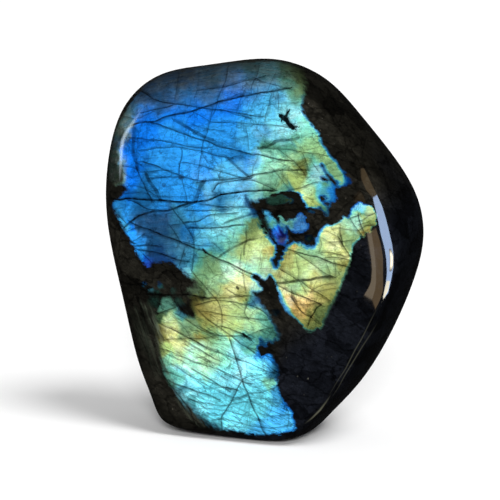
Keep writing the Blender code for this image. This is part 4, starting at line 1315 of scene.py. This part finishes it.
@dataclass(frozen=True)
class Labradorite:
    """Polished labradorite: a near black body, and the play of colour with its fractures and inclusions.

    The play of colour is the labradorescent flash as the camera sees it: its tints follow the stone's own
    layers, and its brightness is a painted sheen fixed in the base colour. Lengths on the photograph are in
    pixels and those on the stone in millimetres. A range is given by where it begins and ends, and where it
    falls by its values there too.
    """

    name: str = "polished_labradorite"
    refraction: float = 1.56
    least_roughness: float = 0.045
    polish_play: float = 0.03
    crack_roughness: float = 0.10
    polish: Grain = Grain(scale=0.25, detail=4.0)
    wave: Grain = Grain(scale=0.12, detail=2.0)
    wave_height_mm: float = 0.02
    groove_mm: float = 0.003
    relief_strength: float = 0.6

    # Fractures: a dark core, and a shade that lies now on one side and now on the other.
    wander: Grain = Grain(scale=0.9, rough=0.6)
    wander_width: float = 1.3
    shade_side: Grain = Grain(scale=0.14, rough=0.6, spread=(0.38, 0.62))
    fray: Grain = Grain(scale=0.45, rough=0.6, spread=(0.3, 0.62, 0.62, 1.15))
    core_inside: float = 0.55
    core_outside: float = 0.4
    side_width: float = 0.6
    shade_width: float = 3.2
    shade_darkness: float = 0.62
    line_end: tuple[float, ...] = (3.4, 4.6, 1.0, 0.0)

    # The body: two tones that meet along a slope, broken into cells, with dust and hairs, and painted shade
    # on its right side.
    olive_black: Colour = (24, 23, 19)
    navy_black: Colour = (15, 17, 22)
    tone_drift: Grain = Grain(20, scale=0.035)
    tone_sway: float = 40.0
    tone_slope: float = 0.6
    tone_border: tuple[float, ...] = (4.0, 24.0)
    large_cells: Grain = Grain(-25, 0.6, 0.16, spread=(0.0, 1.0, 0.6, 1.7))
    small_cells: Grain = Grain(20, 1.0, 0.45, spread=(0.0, 1.0, 0.82, 1.22), deep=0.7)
    seams: Grain = Grain(-15, 0.6, 0.13)
    seam_width: float = 0.05
    seam_darkness: float = 0.6
    dust: Grain = Grain(-20, 0.5, 1.4, 4.0, 0.65, (0.3, 0.75, 0.7, 1.5))
    crack_darkness: float = 0.85
    body_hairs: Grain = Grain(-30, 0.25, 0.22, 4.0, 0.55)
    body_hair_width: float = 0.012
    body_hair_darkness: float = 0.5
    side_shade_front: tuple[float, ...] = (-16.5, -12.0)
    side_shade_back: tuple[float, ...] = (2.0, 9.0, 1.0, 0.0)
    side_shade_right: tuple[float, ...] = (0.0, 15.0)
    side_shade_darkness: float = 0.6
    streaks: Grain = Grain(-68, 0.12, 0.9, 4.0, 0.6, (0.38, 0.66, 0.15, 1.5))
    streak_colour: Colour = (150, 165, 140)

    # The shining field, the flash painted as a sheen: its ragged edge with a blue border, and the drift of
    # its tints.
    ragged_edge: Grain = Grain(scale=0.55, detail=5.0, rough=0.62)
    ragged_depth: float = 3.2
    edge_blocks: Grain = Grain(-12, 0.6, 0.95)
    block_depth: float = 2.4
    edge_threads: Grain = Grain(-62, 0.14, 0.9, 4.0, 0.6)
    thread_depth: float = 1.8
    border_begin: float = 0.1
    border_end: float = 0.8
    border_strength: float = 0.85
    border_tint: float = Tint.ELECTRIC.value
    border_darkness: float = 0.22
    tint_drift: Grain = Grain(-15, 0.5, 0.30, 4.0, 0.55)
    tint_sway: float = 0.08
    mist: Grain = Grain(10, 0.5, 0.5, 4.0, 0.6, (0.3, 0.7, 0.5, 1.4))
    pale_colour: Colour = (232, 250, 238)
    brilliance: float = 1.12
    field_crack_darkness: float = 0.92
    speck_edge: float = 0.5
    dark_speck: Colour = (22, 20, 16)
    light_speck: Colour = (220, 215, 190)

    # The unevenness of the light, with steeper streaks low down. Hairs and nets have a width and a darkness.
    level_streaks: Grain = Grain(8, 0.16, 1.5, 4.0, 0.6)
    sloping_streaks: Grain = Grain(-26, 0.10, 1.4, 4.0, 0.65)
    streak_range: tuple[float, ...] = (0.3, 0.7)
    low_field: tuple[float, ...] = (28.0, 48.0, 1.0, 0.0)
    streak_dark: tuple[float, ...] = (0.92, 1.04)
    streak_light: tuple[float, ...] = (1.07, 1.37)
    mottle: Grain = Grain(scale=0.45, detail=6.0, rough=0.68, spread=(0.3, 0.7, 0.9, 1.08))
    glitter: Grain = Grain(30, 1.0, 2.6, 3.0, 0.6, (0.3, 0.7, 0.93, 1.05))
    hair_sets: tuple[tuple[Grain, float, float], ...] = (
        (Grain(6, 1 / 5, 0.30, 4.0, 0.55), 0.014, 0.20),
        (Grain(77, 1 / 4, 0.16, 4.0, 0.55), 0.010, 0.20),
    )
    sloping_hairs: Grain = Grain(-22, 1 / 6, 0.26, 4.0, 0.55)
    sloping_width: float = 0.018
    sloping_darkness: float = 0.34
    sloping_fall: tuple[float, ...] = (30.0, 60.0, 1.0, 0.25)
    net_sets: tuple[tuple[Grain, float, float], ...] = (
        (Grain(10, 0.5, 0.16), 0.04, 0.24),
        (Grain(-40, 0.6, 0.34), 0.05, 0.15),
    )
    net_places: Grain = Grain(50, scale=0.10, detail=2.0, spread=(0.42, 0.58))

    # The dull flashes, a painted sheen, on the side that the photograph does not show.
    hidden_light: float = 0.16
    hidden_side: tuple[float, ...] = (8.0, 16.0)
    hidden_places: Grain = Grain(32, 0.4, 0.055, 5.0, 0.6, (0.50, 0.60))
    hidden_tints: Grain = Grain(32, 0.5, 0.03, 4.0, spread=(0.36, 0.66, 0.16, 0.62))

    def build(self, layers: int) -> bpy.types.Material:
        """Makes the material.

        Args:
            layers: How many layers of lines the stone's mesh holds.

        Returns:
            The material.
        """
        material = bpy.data.materials.new(self.name)
        nodes = Nodes(material)
        cracks = self.cracks(nodes, layers)
        body = self.body(nodes, cracks)
        polish = nodes.plus(nodes.times(nodes.noise(self.polish), self.polish_play), self.least_roughness)
        nodes.show(nodes.add("ShaderNodeBsdfPrincipled", {
            "Base Color": self.painted_sheen_colour(nodes, body, cracks),
            "IOR": self.refraction,
            "Roughness": nodes.plus(polish, nodes.times(cracks, self.crack_roughness)),
            "Normal": self.relief(nodes, cracks),
        }))
        return material

    def cracks(self, nodes: Nodes, layers: int) -> Socket:
        """Draws the fractures of all layers as one darkness.

        Args:
            nodes: The material's nodes.
            layers: How many layers there are.

        Returns:
            The darkness, 0 to 1.
        """
        wander = nodes.swing(nodes.noise(self.wander), self.wander_width)
        shade = nodes.noise(self.shade_side)
        other_shade = nodes.minus(1.0, shade)
        uneven = nodes.noise(self.fray)
        clear = 1.0
        for number in range(layers):
            signed, plain, half_width, darkness = nodes.attribute(f"lines_{number}")
            shift = nodes.plus(signed, wander)
            offset = nodes.math("ABSOLUTE", shift)
            inner = nodes.minus(half_width, self.core_inside)
            core = nodes.span(offset, inner, nodes.plus(half_width, self.core_outside), 1.0, 0.0)
            side = nodes.span(shift, -self.side_width, self.side_width, shade, other_shade)
            reach = nodes.plus(half_width, nodes.times(side, self.shade_width))
            halo = nodes.span(offset, 0.0, reach, nodes.times(side, self.shade_darkness), 0.0)
            mark = nodes.times(nodes.math("MAXIMUM", core, halo), nodes.span(plain, *self.line_end))
            mark = nodes.times(mark, nodes.times(darkness, uneven), clamp=True)
            clear = nodes.times(clear, nodes.minus(1.0, mark))
        return nodes.minus(1.0, clear, clamp=True)

    def body(self, nodes: Nodes, cracks: Socket) -> Socket:
        """The dark body between the flashes.

        Args:
            nodes: The material's nodes.
            cracks: The fractures' darkness.

        Returns:
            The body's colour.
        """
        across, inward, up = nodes.axes()
        slope = nodes.minus(across, nodes.times(up, self.tone_slope))
        slope = nodes.plus(slope, nodes.times(nodes.noise(self.tone_drift), self.tone_sway))
        side = nodes.span(slope, *self.tone_border)
        tone = nodes.mix(side, linear(*self.olive_black), linear(*self.navy_black))
        light = nodes.times(nodes.cells(self.large_cells), nodes.cells(self.small_cells))
        light = nodes.dimmed(light, nodes.net(self.seams, self.seam_width), self.seam_darkness)
        light = nodes.times(light, nodes.noise(self.dust))
        light = nodes.dimmed(light, cracks, self.crack_darkness)
        hairs = nodes.hairs(self.body_hairs, self.body_hair_width)
        light = nodes.dimmed(light, hairs, self.body_hair_darkness)
        # Painted shade: the body's right side, behind the face, is darkened to the shade it lies in.
        side_shade = nodes.times(nodes.span(inward, *self.side_shade_front), nodes.span(inward, *self.side_shade_back))
        side_shade = nodes.times(side_shade, nodes.span(across, *self.side_shade_right))
        dark = nodes.scaled(tone, nodes.dimmed(light, side_shade, self.side_shade_darkness))
        _, _, faint, _ = nodes.attribute("speck")
        glow = nodes.scaled(linear(*self.streak_colour), nodes.times(faint, nodes.noise(self.streaks)))
        return nodes.mix(1.0, dark, glow, "ADD")

    # Painted sheen: the labradorescent flash, as the camera sees it, is laid into the base colour.
    def painted_sheen_colour(self, nodes: Nodes, body: Socket, cracks: Socket) -> Socket:
        """Lays the shining field and the specks over the body.

        Args:
            nodes: The material's nodes.
            body: The body's colour.
            cracks: The fractures' darkness.

        Returns:
            The stone's colour.
        """
        depth, order, light, pale = nodes.attribute("shine")
        rim, rim_width, softness, rough = nodes.attribute("rim")
        ragged = nodes.swing(nodes.noise(self.ragged_edge), self.ragged_depth)
        blocks = nodes.swing(nodes.cells(self.edge_blocks), self.block_depth)
        depth = nodes.plus(nodes.plus(depth, nodes.times(rough, ragged)), nodes.times(rough, blocks))
        threads = nodes.swing(nodes.noise(self.edge_threads), nodes.times(softness, self.thread_depth))
        depth = nodes.plus(depth, threads)
        shown = nodes.span(depth, nodes.times(softness, -1.0), softness)
        begin, end = nodes.times(rim_width, self.border_begin), nodes.times(rim_width, self.border_end)
        border = nodes.times(nodes.span(depth, begin, end, self.border_strength, 0.0), rim)
        order = nodes.plus(order, nodes.swing(nodes.noise(self.tint_drift), self.tint_sway))
        to_border = nodes.times(nodes.minus(self.border_tint, order), border)
        colour = self.tint_ramp(nodes, nodes.plus(order, to_border, clamp=True))
        pale = nodes.times(pale, nodes.noise(self.mist), clamp=True)
        pale = nodes.times(pale, nodes.minus(1.0, border), clamp=True)
        colour = nodes.mix(pale, colour, linear(*self.pale_colour))
        shimmer = self.shimmer(nodes)
        light = nodes.times(light, nodes.times(shimmer, self.brilliance))
        light = nodes.dimmed(light, border, self.border_darkness)
        light = nodes.dimmed(light, cracks, self.field_crack_darkness)
        colour = nodes.scaled(colour, nodes.times(light, light))
        colour = nodes.mix(shown, self.painted_hidden_flash(nodes, body, shimmer), colour)
        within, darkness, _, _ = nodes.attribute("speck")
        spot = nodes.span(within, -self.speck_edge, self.speck_edge)
        for look, sign in ((self.dark_speck, 1.0), (self.light_speck, -1.0)):
            strength = nodes.math("MAXIMUM", nodes.times(darkness, sign), 0.0)
            colour = nodes.mix(nodes.times(spot, strength), colour, linear(*look))
        return colour

    # Painted sheen: dull flashes laid into the body's colour on the back.
    def painted_hidden_flash(self, nodes: Nodes, body: Socket, shimmer: Socket) -> Socket:
        """Lays dull flashes over the body on the side that the photograph does not show.

        Args:
            nodes: The material's nodes.
            body: The body's colour.
            shimmer: The unevenness of the light.

        Returns:
            The colour.
        """
        behind = nodes.span(nodes.axes()[1], *self.hidden_side)
        light = nodes.times(nodes.times(shimmer, shimmer), self.hidden_light)
        flash = nodes.scaled(self.tint_ramp(nodes, nodes.noise(self.hidden_tints)), light)
        return nodes.mix(nodes.times(behind, nodes.noise(self.hidden_places)), body, flash)

    @staticmethod
    def tint_ramp(nodes: Nodes, order: Socket) -> Socket:
        """Turns the order of tints into colours.

        Args:
            nodes: The material's nodes.
            order: Where the tint stands in its order.

        Returns:
            The colour.
        """
        ramp = nodes.add("ShaderNodeValToRGB", {0: order})
        stops = ramp.color_ramp.elements
        for tint, colour in TINT_COLOURS.items():
            if tint in (Tint.INDIGO, Tint.ORANGE):
                stop = stops[0] if tint is Tint.INDIGO else stops[-1]
            else:
                stop = stops.new(tint.value)
            stop.position = tint.value
            stop.color = linear(*colour)
        return ramp.outputs[0]

    def shimmer(self, nodes: Nodes) -> Socket:
        """The unevenness of the light: fine streaks along the layers, mottling, cleavage lines and nets.

        Args:
            nodes: The material's nodes.

        Returns:
            A factor around 1.
        """
        up = nodes.axes()[2]
        low = nodes.span(up, *self.low_field)
        level, sloping = nodes.noise(self.level_streaks), nodes.noise(self.sloping_streaks)
        streak = nodes.plus(level, nodes.times(nodes.minus(sloping, level), low))
        dark = nodes.span(low, 0.0, 1.0, *self.streak_dark)
        light = nodes.span(low, 0.0, 1.0, *self.streak_light)
        factor = nodes.span(streak, *self.streak_range, dark, light)
        factor = nodes.times(factor, nodes.noise(self.mottle))
        factor = nodes.times(factor, nodes.noise(self.glitter))
        for grain, width, darkness in self.hair_sets:
            factor = nodes.dimmed(factor, nodes.hairs(grain, width), darkness)
        hairs = nodes.hairs(self.sloping_hairs, self.sloping_width)
        hairs = nodes.times(hairs, nodes.span(up, *self.sloping_fall))
        factor = nodes.dimmed(factor, hairs, self.sloping_darkness)
        patchy = nodes.noise(self.net_places)
        for grain, width, darkness in self.net_sets:
            factor = nodes.dimmed(factor, nodes.net(grain, width), nodes.times(patchy, darkness))
        return factor

    def relief(self, nodes: Nodes, cracks: Socket) -> Socket:
        """The slight waviness of the polish, and hair-fine grooves where fractures reach the surface.

        Args:
            nodes: The material's nodes.
            cracks: The fractures' darkness.

        Returns:
            The normal's socket.
        """
        wave = nodes.times(nodes.noise(self.wave), self.wave_height_mm)
        height = nodes.minus(wave, nodes.times(cracks, self.groove_mm))
        inputs = {"Distance": MM, "Strength": self.relief_strength, "Height": height}
        return nodes.add("ShaderNodeBump", inputs).outputs[0]


@dataclass(frozen=True)
class Glowing:
    """The finish of a panel that gives its own light, as strongly as its mesh's glow attribute says."""

    name: str
    colour: Colour
    strength: float

    def build(self) -> bpy.types.Material:
        """Makes the material.

        Returns:
            The material.
        """
        material = bpy.data.materials.new(self.name)
        nodes = Nodes(material)
        share = nodes.add("ShaderNodeAttribute", {}, attribute_name="glow").outputs["Fac"]
        glow = {"Color": linear(*self.colour), "Strength": nodes.times(share, self.strength)}
        nodes.show(nodes.add("ShaderNodeEmission", glow))
        return material


@dataclass(frozen=True)
class PaleMatt:
    """The floor's plain, pale finish."""

    name: str = "pale_floor"
    colour: Colour = (243, 243, 243)

    def build(self) -> bpy.types.Material:
        """Makes the material.

        Returns:
            The material.
        """
        material = bpy.data.materials.new(self.name)
        nodes = Nodes(material)
        nodes.show(nodes.add("ShaderNodeBsdfDiffuse", {"Color": linear(*self.colour)}))
        return material


@dataclass(frozen=True)
class MirroredPanel:
    """A glowing panel that shows only in the stone's polish, cut so that its image fills a given place.

    The place is given by its two long edges in the photograph, as x, y, x, y and so on. The panel may fade
    out over a share of its width and length.
    """

    name: str
    left: tuple[float, ...]
    right: tuple[float, ...]
    colour: Colour
    strength: float
    distance: float = 0.06
    fade: float = 0.0
    rows: int = 28
    columns: int = 6

    @classmethod
    def along(cls, name: str, width: float, way: tuple[float, ...], colour: Colour,
              strength: float, fade: float, least_turn: float = 0.15) -> "MirroredPanel":
        """Makes a panel whose mirror image is a narrow, tapering streak.

        Args:
            name: The panel's name.
            width: How wide the streak is, in pixels.
            way: The streak's middle line.
            colour: The panel's colour.
            strength: How strongly the panel glows.
            fade: Over which share of its width and length it fades out.
            least_turn: Where on a half turn's sine the taper begins and, from the other side, ends.

        Returns:
            The panel.
        """
        points = in_pairs(way)
        slope = np.gradient(points, axis=0)
        across = np.column_stack((slope[:, 1], -slope[:, 0])) / np.hypot(*slope.T)[:, None] * width / 2
        taper = np.sin(np.linspace(least_turn, math.pi - least_turn, len(points)))[:, None]
        left, right = (tuple((points + sign * across * taper).ravel()) for sign in (-1, 1))
        return cls(name, left, right, colour, strength, fade=fade)

    def edge(self, places: tuple[float, ...]) -> np.ndarray:
        """Spaces the panel's rows evenly along one of its edges.

        Args:
            places: The edge.

        Returns:
            One place for each row.
        """
        points = in_pairs(places)
        steps = np.hypot(*np.diff(points, axis=0).T)
        run = np.concatenate(((0.0,), np.cumsum(steps))) / steps.sum()
        wanted = np.linspace(0.0, 1.0, self.rows)
        return np.column_stack([np.interp(wanted, run, points[:, axis]) for axis in (0, 1)])

    def build(self, stone: bpy.types.Object, camera: PhotoCamera) -> None:
        """Makes the panel.

        Args:
            stone: The polished stone.
            camera: The camera that sees the mirror image.
        """
        bpy.ops.object.select_all(action="DESELECT")
        steps = self.columns - 1, self.rows - 1
        bpy.ops.mesh.primitive_grid_add(x_subdivisions=steps[0], y_subdivisions=steps[1], size=1.0)
        panel = bpy.context.object
        panel.name = self.name
        left, right = self.edge(self.left), self.edge(self.right)
        glow = panel.data.attributes.new("glow", "FLOAT", "POINT")
        for vertex in panel.data.vertices:
            share, length = vertex.co.x + 0.5, vertex.co.y + 0.5
            row = round(length * (self.rows - 1))
            x, y = left[row] + (right[row] - left[row]) * share
            vertex.co = self.mirrored_place(stone, Vector(camera.place()), camera.sight_line(x, y))
            edge = min(share, 1 - share, length, 1 - length)
            glow.data[vertex.index].value = min(1.0, edge / self.fade) if self.fade else 1.0
        panel.data.materials.append(Glowing(self.name, self.colour, self.strength).build())
        for kind in ("camera", "diffuse", "transmission", "volume_scatter", "shadow"):
            setattr(panel, f"visible_{kind}", False)

    def mirrored_place(self, stone: bpy.types.Object, eye: Vector, sight: Vector) -> Vector:
        """Follows a line of sight over the stone's polish to the panel's place.

        Args:
            stone: The polished stone.
            eye: Where the line of sight begins.
            sight: Its direction.

        Returns:
            The place.
        """
        hit, place, normal, index = stone.ray_cast(eye, sight)
        if not hit:
            return eye + sight * (2 * self.distance)
        mesh = stone.data
        corners = [mesh.vertices[i] for i in mesh.polygons[index].vertices]
        shares = poly_3d_calc([corner.co for corner in corners], place)
        normal = sum((corner.normal * share for corner, share in zip(corners, shares)), Vector()).normalized()
        return place + sight.reflect(normal) * self.distance


WINDOW_BLUE = (184, 210, 250)
FAR_WINDOW = (215, 230, 245)
CREAM = (255, 246, 222)
BROWN = (192, 162, 120)
TAUPE = (206, 186, 156)
OLIVE_GREY = (225, 225, 190)

# Where the curtain's image meets that of the window's lower frame.
CURTAIN_EDGE = (371, 231, 373.5, 245, 375, 258, 376, 270, 376, 282, 375, 290, 372, 300)

# What the polish mirrors in the photograph: a window on the right, its frame and the room around it.
PANELS = (
    MirroredPanel(
        "window_panel", (373, 198, 377, 216, 381, 235, 385, 250, 386.4, 260, 387, 273, 386, 282, 383, 297),
        (377, 195, 382, 206, 386, 219, 389, 231, 392, 244, 393.6, 256, 393.4, 267, 391, 280.5, 388, 293,
         383.5, 299), WINDOW_BLUE, 13.5),
    MirroredPanel(
        "sunlit_panel", (389, 249, 389.8, 257, 389.8, 264, 389.4, 271),
        (391, 249, 393.4, 256, 393.3, 265, 391.6, 271), CREAM, 26.0, distance=0.0585, fade=0.25),
    MirroredPanel(
        "sill_panel", (386.5, 281, 384.5, 290, 383, 297), (390, 281, 388, 291, 383.6, 299), CREAM, 15.0,
        distance=0.0585),
    MirroredPanel(
        "upper_frame_panel", (361, 169, 361, 178, 366, 190, 373, 198),
        (364, 168, 366, 172, 371, 183, 377, 195), BROWN, 1.9),
    MirroredPanel(
        "side_frame_panel", (354, 202, 356, 197, 358, 193), (366, 203, 363.5, 196, 361, 192), BROWN, 0.8),
    MirroredPanel(
        "curtain_panel", (367, 233, 369, 245, 371, 258, 372, 270, 371, 282, 368, 289, 364, 295), CURTAIN_EDGE,
        TAUPE, 4.6),
    MirroredPanel(
        "lower_frame_panel", CURTAIN_EDGE,
        (376, 228, 381, 245, 383, 258, 383, 275, 383, 290, 380, 300, 375.5, 309), BROWN, 3.1),
    MirroredPanel.along(
        "far_window_panel", 5.0,
        (141, 110, 138, 115, 135, 119.5, 131.5, 125, 128.6, 129, 125.5, 134, 122.9, 140, 121.6, 148, 121, 158,
         120.4, 168, 119.8, 176, 119.4, 183), FAR_WINDOW, 9.0, 0.35),
    MirroredPanel.along(
        "first_ledge_panel", 1.5,
        (381, 301, 379, 305, 372, 318, 366, 330, 361, 340, 355, 350, 350, 360, 345, 370, 338, 380, 331, 392,
         325, 400), OLIVE_GREY, 1.3, 0.4),
    MirroredPanel.along(
        "second_ledge_panel", 1.5,
        (379, 320, 374.5, 327.5, 370, 335, 362, 347, 353.5, 361, 345, 375, 338, 388, 330, 400),
        OLIVE_GREY, 1.0, 0.4),
    MirroredPanel.along(
        "low_ledge_panel", 2.6, (332, 393, 326, 402, 320, 410, 312, 418, 303, 425), OLIVE_GREY, 1.2, 0.45),
)


@dataclass(frozen=True)
class Sun:
    """A soft, far light: where it stands and how wide it looks, in degrees, and its strength."""

    name: str
    azimuth: float
    elevation: float
    spread: float
    strength: float

    def hang(self) -> None:
        """Hangs the light so that it shines on the stone but is not mirrored in it."""
        turn, rise = math.radians(self.azimuth), math.radians(self.elevation)
        toward = Vector((math.sin(turn) * math.cos(rise), -math.cos(turn) * math.cos(rise), math.sin(rise)))
        data = bpy.data.lights.new(self.name, "SUN")
        data.energy = self.strength
        data.angle = math.radians(self.spread)
        sun = bpy.data.objects.new(self.name, data)
        sun.rotation_euler = toward.to_track_quat("Z", "Y").to_euler()
        sun.visible_glossy = False
        bpy.context.scene.collection.objects.link(sun)


@dataclass(frozen=True)
class Studio:
    """The plain pale floor, the soft light and the panels that the polish mirrors."""

    floor_size: float = 60.0
    sky_light: float = 0.39
    mirrored_sky: float = 0.009
    seen_sky: float = 1.0
    suns: tuple[Sun, ...] = (Sun("key_sun", 67.0, 58.0, 24.0, 2.15), Sun("front_sun", 20.5, 26.0, 14.0, 1.8))

    def build(self, stone: bpy.types.Object, camera: PhotoCamera) -> None:
        """Sets up the floor, the sky, the suns and the panels.

        Args:
            stone: The polished stone.
            camera: The camera that sees the panels' mirror images.
        """
        self.lay_floor()
        self.light_sky()
        for sun in self.suns:
            sun.hang()
        for panel in PANELS:
            panel.build(stone, camera)

    def lay_floor(self) -> None:
        """Lays the floor, which neither colours the stone nor shows in its polish."""
        bpy.ops.object.select_all(action="DESELECT")
        bpy.ops.mesh.primitive_plane_add(size=self.floor_size)
        floor = bpy.context.object
        floor.name = "pale_floor"
        floor.data.materials.append(PaleMatt().build())
        floor.visible_glossy = False
        floor.visible_diffuse = False

    def light_sky(self) -> None:
        """Makes the sky white to the eye, soft as light and dark in the polish."""
        world = bpy.data.worlds.new("studio")
        bpy.context.scene.world = world
        nodes = Nodes(world)
        rays = nodes.add("ShaderNodeLightPath", {}).outputs
        shown, mirrored, seen = (
            nodes.add("ShaderNodeBackground", {"Color": (1.0, 1.0, 1.0, 1.0), "Strength": strength})
            for strength in (self.sky_light, self.mirrored_sky, self.seen_sky))
        for ray, sky in (("Is Glossy Ray", mirrored), ("Is Camera Ray", seen)):
            shown = nodes.add("ShaderNodeMixShader", {0: rays[ray], 1: shown.outputs[0], 2: sky.outputs[0]})
        nodes.show(shown, "World")


def main() -> None:
    """Builds the camera, the stone and the studio, and dresses the stone."""
    logging.basicConfig(level=logging.INFO, format="%(name)s: %(message)s")
    bpy.context.scene.view_settings.view_transform = "Standard"
    camera = PhotoCamera()
    camera.build()
    stone = StoneForm().build()
    layers = Markings(stone, camera).draw()
    stone.data.materials.clear()
    stone.data.materials.append(Labradorite().build(layers))
    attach(stone, "root")
    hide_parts(STONE_NODE)
    log.info("%s: %d vertices, %d faces, %d line layers", stone.name, len(stone.data.vertices),
             len(stone.data.polygons), layers)
    bpy.context.view_layer.update()
    Studio().build(stone, camera)


if __name__ == "__main__":
    main()
